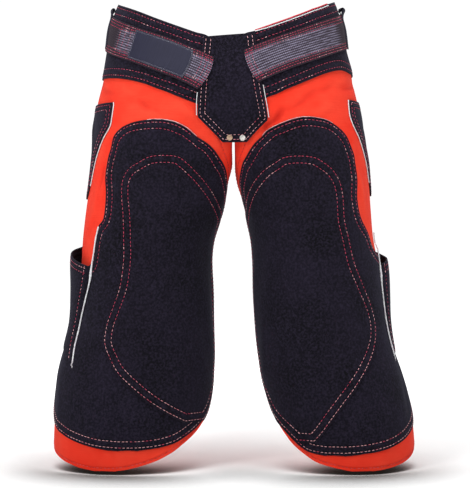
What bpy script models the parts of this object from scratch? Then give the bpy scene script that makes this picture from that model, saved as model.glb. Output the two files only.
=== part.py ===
"""Farrier chaps: open-backed leg aprons on a webbing waist belt, held in the form they take when worn.

Every cloth or suede piece is a thin wall on one shared form: a waist that parts into two legs. The form
is a short table of sections, and a place on it is an angle round the leg and a height. A piece that lies
on another is made from the same form, lifted clear of it.
World metres, +Z up, the front faces -Y, the wearer's right side is -X. The origin is in the middle of
the waist, level with the belt.
"""
import math
from collections import namedtuple

import bmesh
import bpy
import numpy as np
from mathutils import Matrix, Vector

MM = 0.001

# ---------------------------------------------------------------- driving sizes, millimetres
CANVAS = 1.6            # canvas of the leg panels
SUEDE = 1.9             # suede of the patches, the hip band and the pockets
YOKE_SUEDE = 2.2
WEBBING = 1.8
LABEL = 0.9
CANVAS_GAP = 0.9        # clearance between the canvas and what lies on it
SEAM_GAP = 0.6          # clearance between the other layers
RIVET_GAP = 0.9
TRIM_GAP = 0.4          # clearance between the canvas and the piping on it
BELT_WIDTH = 50.0
LEG_STRAP_WIDTH = 38.0
PIPING_DIAMETER = 2.6
RIVET_DIAMETER = 8.4
RIVET_TOP = 2.7          # radius of the flat of its dome
RIVET_HEIGHT = 1.8
CENTRE_CLEARANCE = 1.9  # each leg panel stops this far short of the middle plane
YOKE_BRIDGE = 45.0      # the yoke spans the hollow between the legs over this half width
BELT_DIP = 20.0         # the belt sinks this far at the middle of the back
BELT_DIP_START = 125.0  # the angle at which it starts to sink

# ---------------------------------------------------------------- how finely the cloth is divided
SHARED_COLUMNS = range(-100, 130, 10)   # degrees; all leg pieces are creased along these columns
SHARED_ROWS = [48, 24, 0, -24, -48, -72, -96, -108, -120, -132, -144, -156, -168] + [
    -168 - 24 * k for k in range(1, 21)]     # and along rows at these heights
DEGREE = 1.65           # millimetres that a degree round the leg comes to, when a piece is laid flat
EDGE_STEP = 16.0        # millimetres between the points of an outline
EDGE_WELD = 3.0         # points of a piece closer than this are made one
NESTING_SHEAR = 0.05    # leans the cells while they are split, so that all layers split the same way
CURVE_POINTS = 12       # points of the smooth curve for each row of a table

# height of each layer's inner face above the form
ON_FORM = 0.0
ON_CANVAS = ON_FORM + CANVAS + CANVAS_GAP
ON_SUEDE = ON_CANVAS + SUEDE + SEAM_GAP
ON_YOKE = ON_SUEDE + YOKE_SUEDE + SEAM_GAP
ON_BAND = ON_SUEDE + SEAM_GAP
INSIDE = -(WEBBING + 2 * SEAM_GAP)
TRIM_SEAT = ON_FORM + CANVAS + TRIM_GAP

# ---------------------------------------------------------------- the form, a section for each height
# out and in: where the wall stands sideways from the middle plane, on the outer and the inner side
# front and back: its depth; square: 1 is round, less is a squarer inner corner; lean: sideways shift
Section = namedtuple("Section", "z right_out left_out right_in left_in front back square lean")
SECTIONS = [
    Section(45, 156, 156, -156, -156, 105, 108, 1.00, -10),
    Section(0, 171, 171, -171, -171, 112, 116, 1.00, -10),
    Section(-30, 175, 175, -175, -175, 115, 118, 1.00, -10),
    Section(-60, 182, 181, -165, -164, 116, 118, 0.95, -8),
    Section(-80, 188, 183, -140, -138, 115, 116, 0.80, -6),
    Section(-110, 197, 188, -80, -78, 112, 112, 0.55, -4),
    Section(-150, 204, 191, -20, -20, 106, 106, 0.30, 0),
    Section(-168, 206, 194, 2.6, 2.6, 104, 104, 0.24, 0),
    Section(-200, 209.5, 199, 3.4, 3.4, 101, 100, 0.38, 0),
    Section(-225, 212.5, 201, 9, 6, 100, 98, 0.55, 0),
    Section(-270, 219, 204, 19, 21, 98, 96, 0.85, 0),
    Section(-315, 224, 208, 35, 32, 96, 94, 1.00, 0),
    Section(-345, 225.5, 214, 38, 34.5, 94, 92, 1.00, 0),
    Section(-390, 227.5, 219, 36, 35.5, 92, 90, 1.00, 0),
    Section(-435, 234.5, 225, 35, 38.5, 90, 90, 1.00, 0),
    Section(-480, 250.5, 236.5, 34, 42.5, 89, 90, 1.00, 0),
    Section(-510, 258, 247, 35, 46.5, 89, 90, 1.00, 0),
    Section(-540, 261.5, 256, 37, 52.5, 90, 90, 1.00, 0),
    Section(-600, 266.5, 268, 40, 59.5, 92, 90, 1.00, 0),
    Section(-660, 268, 270, 42, 62, 93, 90, 1.00, 0),
]

# soft folds in the form: centre angle and height, half widths, turn of the fold in degrees per mm, rise
Fold = namedtuple("Fold", "side angle z width height slant rise")
FOLDS = [
    Fold("right", -22, -150, 9, 26, 0.55, -2.2),
    Fold("right", 4, -128, 10, 16, 1.10, 1.6),
    Fold("right", 112, -330, 10, 90, 0.05, -4.0),
    Fold("right", 104, -560, 12, 70, -0.03, 4.5),
    Fold("right", -62, -330, 11, 60, 0.10, -2.2),
    Fold("right", 22, -600, 10, 60, 0.02, 1.8),
    Fold("right", -12, -618, 10, 55, 0.02, -1.8),
    Fold("left", -20, -146, 9, 26, 0.60, -2.4),
    Fold("left", 8, -124, 10, 15, 1.20, 1.6),
    Fold("left", 110, -310, 11, 80, 0.04, -3.6),
    Fold("left", 106, -545, 12, 75, -0.02, 4.2),
    Fold("left", -60, -345, 12, 60, 0.10, -2.0),
    Fold("left", 30, -604, 10, 60, 0.02, 1.8),
    Fold("left", -8, -622, 10, 50, 0.02, -1.8),
]

# ---------------------------------------------------------------- outlines, a row for each height
# each row runs across one piece, from its inner edge to its outer edge, in degrees round the leg
Row = namedtuple("Row", "z inner outer")

LEG_PANEL = {
    "right": [
        Row(-63, 58, 84), Row(-66, 47, 106), Row(-76, 34, 116), Row(-91, 14, 119),
        Row(-107, -8, 120), Row(-118, -26, 121), Row(-134, -44, 122), Row(-152, -66, 122),
        Row(-166, -84, 122), Row(-182, -88, 122), Row(-204, -91, 122), Row(-235, -92, 122),
        Row(-280, -94, 123), Row(-340, -95, 124), Row(-420, -95, 124), Row(-490, -95, 123),
        Row(-530, -93, 122), Row(-552, -88, 121), Row(-570, -80, 119), Row(-584, -68, 115),
        Row(-597, -57, 109), Row(-610, -45, 99), Row(-623, -33, 81), Row(-634, -20, 60),
        Row(-642, -5, 41), Row(-646, 8, 24),
    ],
    "left": [
        Row(-54, 62, 84), Row(-57, 51, 106), Row(-68, 37, 116), Row(-84, 17, 119),
        Row(-101, -5, 120), Row(-113, -22, 121), Row(-131, -40, 122), Row(-150, -64, 122),
        Row(-166, -84, 122), Row(-182, -88, 122), Row(-204, -90, 122), Row(-235, -91, 122),
        Row(-280, -93, 123), Row(-340, -95, 124), Row(-420, -95, 124), Row(-490, -95, 123),
        Row(-525, -92, 122), Row(-548, -84, 121), Row(-565, -77, 119), Row(-580, -68, 115),
        Row(-595, -58, 109), Row(-609, -49, 99), Row(-622, -38, 82), Row(-634, -26, 62),
        Row(-642, -10, 42), Row(-646, 2, 22),
    ],
}

THIGH_PATCH = {
    "right": [
        Row(-142, 7, 14), Row(-145, -2, 27), Row(-152, -12.5, 35.5), Row(-163, -27, 40.5),
        Row(-178, -44.5, 43), Row(-200, -59, 45.5), Row(-222, -73, 45.5), Row(-250, -84, 41.5),
        Row(-282, -90, 40), Row(-294, -91, 44.5), Row(-312, -92, 47), Row(-334, -92, 48.5),
        Row(-350, -93, 52), Row(-356, -93, 70), Row(-366, -93, 104), Row(-384, -93, 119.5),
        Row(-440, -93, 120), Row(-490, -93, 119.5), Row(-522, -91, 118.5), Row(-545, -84, 115),
        Row(-562, -76, 104), Row(-577, -67, 84), Row(-590, -55.5, 68), Row(-601, -44, 51),
        Row(-609, -33.5, 34), Row(-614, -21, 19), Row(-616, -8, 6),
    ],
    "left": [
        Row(-138.5, 11, 17), Row(-142, 1.5, 28), Row(-150, -12.5, 35), Row(-161, -31, 40.5),
        Row(-176, -46, 44.5), Row(-200, -59, 47.5), Row(-226, -70, 49), Row(-254, -81, 46.5),
        Row(-282, -89, 49), Row(-305, -92, 60), Row(-328, -92, 67), Row(-341, -93, 86),
        Row(-352, -93, 114), Row(-390, -93, 119.5), Row(-440, -93, 120), Row(-490, -92, 119.5),
        Row(-520, -89, 120), Row(-545, -80, 115), Row(-563, -73, 104), Row(-578, -67, 86),
        Row(-592, -55, 70), Row(-604, -46, 54), Row(-613, -39, 38), Row(-620, -31.5, 19),
        Row(-623.5, -18, -2),
    ],
}

KNEE_PATCH = {
    "right": [
        Row(-189.5, -8, 0), Row(-192, -16, 8), Row(-199, -22, 15), Row(-210, -30, 23.5),
        Row(-227, -43, 27.5), Row(-250, -59, 26.5), Row(-280, -79, 22), Row(-310, -87, 18),
        Row(-342, -88, 16.5), Row(-380, -88, 19.5), Row(-412, -88, 25), Row(-436, -88, 28),
        Row(-462, -88, 26), Row(-486, -88, 18.5), Row(-506, -87, 11), Row(-528, -88, -1),
        Row(-548, -82, -14), Row(-566, -74, -29), Row(-579, -66, -43),
    ],
    "left": [
        Row(-190.5, -9, 0), Row(-193, -18, 9), Row(-200, -25, 16), Row(-212, -37, 24),
        Row(-230, -50, 29.5), Row(-252, -66, 30.5), Row(-284, -85, 29), Row(-312, -87, 31),
        Row(-345, -88, 32.5), Row(-376, -88, 39.5), Row(-404, -88, 46.5), Row(-430, -88, 50),
        Row(-455, -88, 47.5), Row(-477, -87, 40), Row(-500, -86.5, 28.5), Row(-522, -87, 17),
        Row(-546, -79, 4), Row(-570, -68, -8), Row(-592, -51, -18), Row(-606, -41, -25),
    ],
}

HIP_POCKET = {
    "right": [
        Row(-114, 53, 113), Row(-122, 51.7, 113.5), Row(-136, 51, 114), Row(-149, 51, 114),
        Row(-160, 54.5, 114), Row(-176, 60.8, 114), Row(-194, 66.5, 113), Row(-214, 70.5, 112),
        Row(-234, 73.5, 108), Row(-247, 77, 100), Row(-253, 84, 91),
    ],
    "left": [
        Row(-110, 60.5, 113), Row(-120, 58.5, 113.5), Row(-132, 56.5, 114), Row(-142, 57, 114),
        Row(-154, 59.5, 114), Row(-171, 65, 114), Row(-189, 69.5, 113), Row(-209, 74, 112),
        Row(-229, 78, 108), Row(-242, 82, 102), Row(-248, 88, 95),
    ],
}

# columns along the hip band, from the end under the yoke to the side: its lower and its upper edge
Column = namedtuple("Column", "angle low high")
HIP_BAND = {
    "right": [
        Column(-14.5, -122.5, -118), Column(-9, -119.5, -98), Column(0, -114, -60),
        Column(7.5, -109, -27), Column(15, -103.5, -18), Column(25, -96.5, -7),
        Column(35, -89, 3.5), Column(48, -82, 16), Column(62, -77.5, 26), Column(80, -75, 35),
        Column(92, -74.5, 38), Column(99, -74, 36), Column(102, -72, 30),
    ],
    "left": [
        Column(-11, -116.5, -112), Column(-6, -113.5, -91), Column(0, -109.5, -61),
        Column(7, -105.5, -25), Column(14, -100, -16), Column(24, -92.5, -5),
        Column(35, -83.5, 6.5), Column(48, -73, 19), Column(62, -66, 29.5), Column(76, -68, 37),
        Column(90, -69.5, 41.5), Column(98, -70, 39.5), Column(101, -68, 33),
    ],
}

# rows across the front yoke: each end as a sideways place and a height
YokeRow = namedtuple("YokeRow", "right_x right_z left_x left_z")
YOKE = [
    YokeRow(-42, -25.5, 30, -20), YokeRow(-44, -45, 32.5, -40), YokeRow(-47, -75, 37, -72),
    YokeRow(-49.3, -103, 42, -102), YokeRow(-50.6, -124, 46.5, -124), YokeRow(-50.6, -137, 49, -141),
    YokeRow(-46, -142.5, 46, -145), YokeRow(-36, -152.5, 37, -154), YokeRow(-26, -162.5, 28, -163.5),
    YokeRow(-16, -173, 20, -173),
]

# the belt's middle line, from the front tip of a tab round the side
Place = namedtuple("Place", "angle z")
TAB_LINE = {
    "right": [Place(2, -77), Place(15, -63.5), Place(29, -49), Place(50, -30), Place(75, -12),
              Place(92, -3), Place(108, 0), Place(126, 0)],
    "left": [Place(5, -67.5), Place(18, -54), Place(31, -41), Place(55, -20.5), Place(80, -6),
             Place(95, -1), Place(108, 0), Place(126, 0)],
}
BELT_START = 107        # the back belt's end, under the tab
LABEL_SPAN = (0.13, 0.42)   # along the tab's line, from its tip
LABEL_WIDTH = 42.0
LEG_STRAP_Z = -430
LEG_STRAP_SPAN = (112, 276)

# rows across the hollow side pocket, from its front seam to its back seam, and how far it stands off
PocketRow = namedtuple("PocketRow", "front_angle front_z back_angle back_z fullness")
SIDE_POCKET = {
    "right": [
        PocketRow(50.5, -352, 119, -318, 12.0), PocketRow(52.5, -367, 119, -334, 12.0),
        PocketRow(56, -388, 119, -356, 11.0), PocketRow(59.5, -410, 119, -378, 9.5),
        PocketRow(61, -438, 119, -404, 6.5), PocketRow(58.5, -462, 119, -424, 3.5),
        PocketRow(55.5, -481, 119, -437, 1.3), PocketRow(54, -493, 119, -446, 0.0),
    ],
    "left": [
        PocketRow(76, -350, 128, -330, 12.5), PocketRow(75.5, -366, 128, -344, 12.5),
        PocketRow(75, -388, 128, -362, 11.5), PocketRow(75.5, -412, 128, -384, 9.0),
        PocketRow(75, -438, 128, -404, 6.0), PocketRow(74, -460, 128, -422, 3.2),
        PocketRow(73.5, -476, 128, -434, 1.2), PocketRow(73, -486, 128, -442, 0.0),
    ],
}

# white piping: the route of each trim on the form, with the height of what it lies on
Trim = namedtuple("Trim", "angle z base")
PIPING = {
    "hip_piping_right": [
        Trim(51.8, -114, TRIM_SEAT), Trim(50.5, -122, TRIM_SEAT), Trim(49.8, -136, TRIM_SEAT),
        Trim(49.8, -149, TRIM_SEAT), Trim(53.1, -161, TRIM_SEAT), Trim(59.4, -177, TRIM_SEAT),
        Trim(65.1, -195, TRIM_SEAT), Trim(69.1, -215, TRIM_SEAT), Trim(71.9, -234, TRIM_SEAT)],
    "hip_piping_left": [
        Trim(59.2, -110, TRIM_SEAT), Trim(57.2, -120, TRIM_SEAT), Trim(55.2, -132, TRIM_SEAT),
        Trim(55.6, -143, TRIM_SEAT), Trim(58.5, -155, TRIM_SEAT), Trim(63.6, -172, TRIM_SEAT),
        Trim(68.1, -190, TRIM_SEAT), Trim(72.5, -210, TRIM_SEAT), Trim(76.3, -229, TRIM_SEAT)],
    "pocket_piping_right": [
        Trim(43.2, -295, ON_SUEDE), Trim(44.5, -311, ON_SUEDE), Trim(46, -332, ON_SUEDE),
        Trim(48.2, -352, ON_SUEDE), Trim(50.5, -373, ON_SUEDE), Trim(55.2, -400, ON_SUEDE),
        Trim(58.2, -430, ON_SUEDE), Trim(55.8, -460, ON_SUEDE), Trim(53, -484, ON_SUEDE),
        Trim(52, -494, ON_SUEDE)],
    "pocket_piping_left": [
        Trim(84, -303, ON_CANVAS), Trim(80.5, -317, ON_CANVAS), Trim(77, -328, ON_SUEDE),
        Trim(74.5, -343, ON_SUEDE), Trim(73.7, -360, ON_SUEDE), Trim(73.2, -388, ON_SUEDE),
        Trim(73.5, -412, ON_SUEDE), Trim(73, -438, ON_SUEDE), Trim(72, -460, ON_SUEDE),
        Trim(71.2, -486, ON_SUEDE)],
}
YOKE_PIPING = {
    "yoke_piping_right": [(-51.0, -104), (-52.0, -114), (-52.4, -124), (-52.4, -136)],
    "yoke_piping_left": [(42.5, -93.5), (45.0, -108), (48.3, -124), (50.6, -139)],
}
RIVETS = {"rivet_right": (-5.5, -167.0), "rivet_left": (13.5, -167.5)}

# colour, roughness and metallic value of each material
Finish = namedtuple("Finish", "color roughness metallic")
FINISHES = {
    "red_canvas": Finish((0.86, 0.07, 0.03), 0.85, 0.0),
    "black_suede": Finish((0.012, 0.013, 0.022), 0.90, 0.0),
    "grey_webbing": Finish((0.11, 0.08, 0.11), 0.80, 0.0),
    "label_cloth": Finish((0.045, 0.045, 0.075), 0.75, 0.0),
    "white_piping": Finish((0.85, 0.85, 0.87), 0.60, 0.0),
    "rivet_brass": Finish((0.55, 0.42, 0.30), 0.35, 1.0),
}


# ---------------------------------------------------------------- the form
def monotone(heights, values, z):
    """A smooth curve through a table that never overshoots its values."""
    step = np.diff(heights)
    rise = np.diff(values) / step
    slope = np.gradient(values, heights)
    for i, r in enumerate(rise):
        if abs(r) < 1e-9:
            slope[i] = slope[i + 1] = 0.0
            continue
        a, b = max(slope[i] / r, 0.0), max(slope[i + 1] / r, 0.0)
        limit = min(1.0, 3.0 / max(math.hypot(a, b), 1e-9))
        slope[i], slope[i + 1] = limit * a * r, limit * b * r
    z = min(max(z, heights[0]), heights[-1])
    i = min(max(int(np.searchsorted(heights, z, side="right")) - 1, 0), len(step) - 1)
    t = (z - heights[i]) / step[i]
    return ((1 + 2 * t) * (1 - t) ** 2 * values[i] + t * (1 - t) ** 2 * step[i] * slope[i]
            + t * t * (3 - 2 * t) * values[i + 1] + t * t * (t - 1) * step[i] * slope[i + 1])


SECTION_Z = np.array([row.z for row in reversed(SECTIONS)], float)
SECTION_COLUMN = {name: np.array([getattr(row, name) for row in reversed(SECTIONS)], float)
                  for name in Section._fields[1:]}
SECTION_CACHE = {}


def section(side, z):
    """Centre, half width, front depth, back depth, squareness and lean of one leg at a height."""
    key = (side, round(z, 3))
    if key not in SECTION_CACHE:
        at = {name: monotone(SECTION_Z, column, z) for name, column in SECTION_COLUMN.items()}
        outer, inner = at[side + "_out"], at[side + "_in"]
        SECTION_CACHE[key] = ((outer + inner) / 2, (outer - inner) / 2, at["front"], at["back"],
                              at["square"], at["lean"])
    return SECTION_CACHE[key]


def outward(side):
    return -1.0 if side == "right" else 1.0


def fold_rise(side, angle, z):
    rise = 0.0
    for fold in FOLDS:
        if fold.side == side:
            across = (angle - fold.angle - fold.slant * (z - fold.z)) / fold.width
            along = (z - fold.z) / fold.height
            rise += fold.rise * math.exp(-across * across - along * along)
    return rise


def form_point(side, angle, z):
    """A point of the form, angle degrees round the leg from straight ahead towards the outer side."""
    centre, half, front, back, square, lean = section(side, z)
    s, c = math.sin(math.radians(angle)), math.cos(math.radians(angle))
    swell = 1 + fold_rise(side, angle, z) / 100.0
    depth = -front * abs(c) ** (square if s < 0 else 1.0) if c > 0 else back * abs(c)
    return np.array([lean + outward(side) * (centre + half * s * swell), depth * swell, z])


def form_frame(side, angle, z):
    """The point, its outward normal, and the way the form runs per degree and per millimetre."""
    turn = (form_point(side, angle + 0.1, z) - form_point(side, angle - 0.1, z)) / 0.2
    drop = (form_point(side, angle, z + 0.5) - form_point(side, angle, z - 0.5))
    normal = np.cross(turn, drop) * outward(side)
    return form_point(side, angle, z), normal / np.linalg.norm(normal), turn, drop


def lifted(side, angle, z, lift):
    point, normal, _, _ = form_frame(side, angle, z)
    return point + normal * lift


def walk(side, place, direction, distance):
    """The place that lies a distance along the form from another, in a world direction."""
    _, _, turn, drop = form_frame(side, *place)
    steps = np.linalg.lstsq(np.array([turn, drop]).T, direction * distance, rcond=None)[0]
    return Place(place.angle + steps[0], place.z + steps[1])


def inner_limit(side, z):
    """The angle at which a leg's wall reaches the middle plane, where the legs still share a front."""
    centre, half, _, _, _, lean = section(side, z)
    reach = (CENTRE_CLEARANCE - outward(side) * lean - centre) / half
    return math.degrees(math.asin(max(reach, -1.0))) if reach < 1 else -180.0


def yoke_point(x, z, lift):
    """A point of the yoke, which bridges the hollow between the legs."""
    lean = section("right", z)[5]
    side = "right" if x < lean else "left"
    distance = abs(x - lean)
    t = distance / YOKE_BRIDGE
    if t < 1.0:
        distance = YOKE_BRIDGE * (0.375 + 0.75 * t * t - 0.125 * t ** 4)
    centre, half = section(side, z)[:2]
    aim = distance
    for _ in range(3):
        angle = math.degrees(math.asin(max(min((aim - centre) / half, 1.0), -1.0)))
        point = lifted(side, angle, z, lift)
        aim += distance - abs(point[0] - lean)
    return np.array([x, point[1], z])


# ---------------------------------------------------------------- tables to surfaces
def spline(rows, t):
    """A smooth curve through the rows of a table, t from 0 at the first row to 1 at the last."""
    table = np.array(rows, float)
    place = t * (len(table) - 1)
    i = min(int(place), len(table) - 2)
    f = place - i
    before = table[max(i - 1, 0)]
    after = table[min(i + 2, len(table) - 1)]
    start, end = table[i], table[i + 1]
    return 0.5 * (2 * start + (end - before) * f + (2 * before - 5 * start + 4 * end - after) * f * f
                  + (3 * start - before - 3 * end + after) * f ** 3)


def outline(side, rows, stop_at_centre):
    """The closed outline of a piece given by rows, as places on the form."""
    inner_edge, outer_edge = [], []
    for t in np.linspace(0.0, 1.0, CURVE_POINTS * len(rows)):
        z, inner, outer = spline(rows, t)
        inner_edge.append((max(inner, inner_limit(side, z)) if stop_at_centre else inner, z))
        outer_edge.append((outer, z))
    return inner_edge + outer_edge[::-1]


def band_outline(columns):
    """The closed outline of a piece given by columns, as places on the form."""
    low_edge, high_edge = [], []
    for t in np.linspace(0.0, 1.0, CURVE_POINTS * len(columns)):
        angle, low, high = spline(columns, t)
        low_edge.append((angle, low))
        high_edge.append((angle, high))
    return low_edge + high_edge[::-1]


def even_steps(edge):
    """The points of a closed outline thinned out to even steps."""
    points = np.array(edge) * (DEGREE, 1.0)
    run = np.linalg.norm(np.roll(points, -1, axis=0) - points, axis=1)
    gone = np.concatenate([[0.0], np.cumsum(run)])
    stops = np.linspace(0.0, gone[-1], int(gone[-1] / EDGE_STEP), endpoint=False)
    closed = np.vstack([points, points[:1]])
    return np.column_stack([np.interp(stops, gone, closed[:, k]) for k in (0, 1)])


def strap_surface(side, line, width, lift, span=(0.0, 1.0)):
    """A webbing strap of even width along a line on the form; its lift may change along the line."""
    def place(u, v):
        t = span[0] + (span[1] - span[0]) * v
        here = Place(*spline(line, t))
        ahead = Place(*spline(line, min(t + 0.01, 1.0)))
        behind = Place(*spline(line, max(t - 0.01, 0.0)))
        _, normal, _, _ = form_frame(side, *here)
        along = form_point(side, *ahead) - form_point(side, *behind)
        across = np.cross(normal, along)
        across /= np.linalg.norm(across) * outward(side)
        edge = walk(side, here, across, (u - 0.5) * width)
        return lifted(side, edge.angle, edge.z, lift(t))
    return place


def pocket_surface(side):
    """The pocket's wall, standing off the leg between its seams and open at the rim."""
    def place(u, v):
        front_angle, front_z, back_angle, back_z, fullness = spline(SIDE_POCKET[side], v)
        angle = front_angle + (back_angle - front_angle) * u
        z = front_z + (back_z - front_z) * u
        bulge = max(fullness, 0.0) * (4 * u * (1 - u)) ** 0.6
        return lifted(side, angle, z, ON_SUEDE + bulge)
    return place


def yoke_surface(u, v):
    right_x, right_z, left_x, left_z = spline(YOKE, v)
    x = right_x + (left_x - right_x) * u
    z = right_z + (left_z - right_z) * u
    return yoke_point(x, z, ON_SUEDE)


# ---------------------------------------------------------------- surfaces to cut cloth
def new_grid(across, along, place):
    """A grid whose points are set from their column and row."""
    cloth = bmesh.new()
    bmesh.ops.create_grid(cloth, x_segments=across, y_segments=along, size=0.5)
    for vert in cloth.verts:
        column, row = round((vert.co.x + 0.5) * across), round((0.5 - vert.co.y) * along)
        vert.co = place(column, row)
    return cloth


def even_cut(surface, across, along):
    """A rectangular piece laid evenly on a surface."""
    return new_grid(across, along, lambda i, j: surface(i / across, j / along))


def outline_cut(side, edge, lift):
    """A piece cut to its outline, creased along the columns and rows that all leg pieces share."""
    points = even_steps(edge)
    cloth = bmesh.new()
    bmesh.ops.create_circle(cloth, cap_ends=True, radius=1.0, segments=len(points))
    for vert, point in zip(cloth.verts, points):
        vert.co = (*point, 0.0)
    for axis, lines in enumerate(([angle * DEGREE for angle in SHARED_COLUMNS], SHARED_ROWS)):
        way = Vector((1.0, 0.0, 0.0) if axis == 0 else (0.0, 1.0, 0.0))
        for line in lines:
            bmesh.ops.bisect_plane(cloth, geom=cloth.verts[:] + cloth.edges[:] + cloth.faces[:], dist=0.01,
                                   plane_co=way * line, plane_no=way)
    rim = [vert for vert in cloth.verts if vert.is_boundary]
    bmesh.ops.remove_doubles(cloth, verts=rim, dist=EDGE_WELD)
    rim = [vert for vert in cloth.verts if vert.is_boundary]
    close = bmesh.ops.find_doubles(cloth, verts=cloth.verts, keep_verts=rim, dist=EDGE_WELD)
    bmesh.ops.weld_verts(cloth, targetmap=close["targetmap"])
    lean = Matrix(((1.0, NESTING_SHEAR, 0.0), (0.0, 1.0, 0.0), (0.0, 0.0, 1.0)))
    bmesh.ops.transform(cloth, matrix=lean, verts=cloth.verts)
    bmesh.ops.triangulate(cloth, faces=cloth.faces, quad_method="SHORT_EDGE", ngon_method="BEAUTY")
    bmesh.ops.transform(cloth, matrix=lean.inverted(), verts=cloth.verts)
    bmesh.ops.recalc_face_normals(cloth, faces=cloth.faces)
    if cloth.faces[0].normal.z < 0:
        bmesh.ops.reverse_faces(cloth, faces=cloth.faces)
    for vert in cloth.verts:
        vert.co = lifted(side, vert.co.x / DEGREE, vert.co.y, lift)
    return cloth


# ---------------------------------------------------------------- objects
def clear_scene():
    for old in list(bpy.data.objects):
        bpy.data.objects.remove(old, do_unlink=True)


def make_materials():
    made = {}
    for name, finish in FINISHES.items():
        material = bpy.data.materials.new(name)
        material.use_nodes = True
        shader = material.node_tree.nodes["Principled BSDF"]
        shader.inputs["Base Color"].default_value = (*finish.color, 1.0)
        shader.inputs["Roughness"].default_value = finish.roughness
        shader.inputs["Metallic"].default_value = finish.metallic
        made[name] = material
    return made


class Workshop:
    """Where the pieces are put together: their collection and the cloths they are cut from."""

    def __init__(self):
        self.collection = bpy.data.collections.new("farrier_chaps")
        bpy.context.scene.collection.children.link(self.collection)
        self.materials = make_materials()

    def add(self, name, data, cloth):
        data.materials.append(self.materials[cloth])
        item = bpy.data.objects.new(name, data)
        self.collection.objects.link(item)
        return item

    def sheet(self, name, side, cloth, thickness, material):
        """A cloth wall: a cut piece, thickened outwards."""
        bmesh.ops.scale(cloth, vec=(MM, MM, MM), verts=cloth.verts[:])
        if side == "right":
            bmesh.ops.reverse_faces(cloth, faces=cloth.faces[:])
        mesh = bpy.data.meshes.new(name)
        cloth.to_mesh(mesh)
        cloth.free()
        mesh.shade_smooth()
        wall = self.add(name, mesh, material).modifiers.new("wall", "SOLIDIFY")
        wall.thickness = thickness * MM
        wall.offset = 1.0

    def piping(self, name, points):
        """A round trim along a list of points."""
        curve = bpy.data.curves.new(name, "CURVE")
        curve.dimensions = "3D"
        curve.bevel_depth = PIPING_DIAMETER / 2 * MM
        curve.bevel_resolution = 1
        curve.use_fill_caps = True
        line = curve.splines.new("POLY")
        line.points.add(len(points) - 1)
        for spot, point in zip(line.points, points):
            spot.co = (*(point * MM), 1.0)
        self.add(name, curve, "white_piping")

    def rivet(self, name, x, z):
        """A domed rivet head, square to the yoke."""
        seat = ON_SUEDE + YOKE_SUEDE + RIVET_GAP
        base = yoke_point(x, z, seat)
        slope_x = yoke_point(x + 1, z, seat) - yoke_point(x - 1, z, seat)
        slope_z = yoke_point(x, z + 1, seat) - yoke_point(x, z - 1, seat)
        out = Vector(np.cross(slope_x, slope_z)).normalized()
        head = bmesh.new()
        middle = Matrix.Translation(Vector(base) * MM + out * RIVET_HEIGHT / 2 * MM)
        bmesh.ops.create_cone(head, cap_ends=True, segments=20, depth=RIVET_HEIGHT * MM,
                              radius1=RIVET_DIAMETER / 2 * MM, radius2=RIVET_TOP * MM,
                              matrix=middle @ out.to_track_quat("Z", "Y").to_matrix().to_4x4())
        mesh = bpy.data.meshes.new(name)
        head.to_mesh(mesh)
        head.free()
        self.add(name, mesh, "rivet_brass")


# ---------------------------------------------------------------- the pieces
def build_leg(shop, side):
    edge = outline(side, LEG_PANEL[side], True)
    shop.sheet("leg_panel_" + side, side, outline_cut(side, edge, ON_FORM), CANVAS, "red_canvas")
    for name, rows, lift in (("thigh_patch_", THIGH_PATCH, ON_CANVAS), ("knee_patch_", KNEE_PATCH, ON_SUEDE),
                             ("hip_pocket_", HIP_POCKET, ON_CANVAS)):
        edge = outline(side, rows[side], False)
        shop.sheet(name + side, side, outline_cut(side, edge, lift), SUEDE, "black_suede")
    shop.sheet("side_pocket_" + side, side, even_cut(pocket_surface(side), 12, 12), SUEDE, "black_suede")
    line = [Place(angle, LEG_STRAP_Z) for angle in np.linspace(*LEG_STRAP_SPAN, 9)]
    strap = strap_surface(side, line, LEG_STRAP_WIDTH, lambda t: INSIDE)
    shop.sheet("leg_strap_" + side, side, even_cut(strap, 2, 24), WEBBING, "grey_webbing")


def tab_lift(t):
    """The tab lies on the hip band, and climbs over the yoke's edge near its tip."""
    climb = min(max((0.22 - t) / 0.14, 0.0), 1.0)
    return ON_BAND + (ON_YOKE - ON_BAND) * climb * climb * (3 - 2 * climb)


def build_waist(shop, side):
    shop.sheet("hip_band_" + side, side, outline_cut(side, band_outline(HIP_BAND[side]), ON_CANVAS), SUEDE,
               "black_suede")
    tab = strap_surface(side, TAB_LINE[side], BELT_WIDTH, tab_lift)
    shop.sheet("belt_tab_" + side, side, even_cut(tab, 3, 32), WEBBING, "grey_webbing")


def build_yoke(shop):
    shop.sheet("front_yoke", "left", even_cut(yoke_surface, 8, 18), YOKE_SUEDE, "black_suede")
    for name, spot in RIVETS.items():
        shop.rivet(name, *spot)


def belt_surface(u, v):
    """The belt round the back, from under one tab to under the other."""
    angle = BELT_START + (360 - 2 * BELT_START) * v
    side = "right" if angle <= 180 else "left"
    angle = min(angle, 360 - angle)
    dip = max(angle - BELT_DIP_START, 0.0) / (180 - BELT_DIP_START)
    middle = -BELT_DIP * dip * dip * (3 - 2 * dip)
    return lifted(side, angle, middle + (u - 0.5) * BELT_WIDTH, ON_CANVAS)


def build_label(shop):
    surface = strap_surface("right", TAB_LINE["right"], LABEL_WIDTH,
                            lambda t: tab_lift(t) + WEBBING + SEAM_GAP, LABEL_SPAN)
    shop.sheet("label_patch", "right", even_cut(surface, 3, 9), LABEL, "label_cloth")


def build_piping(shop):
    radius = PIPING_DIAMETER / 2
    for name, route in PIPING.items():
        side = name.rsplit("_", 1)[1]
        points = []
        for i in range(2 * len(route) - 1):
            angle, z, base = spline(route, i / (2 * len(route) - 2))
            points.append(lifted(side, angle, z, base + radius))
        shop.piping(name, points)
    for name, route in YOKE_PIPING.items():
        shop.piping(name, [yoke_point(x, z, ON_SUEDE + radius) for x, z in route])


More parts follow.
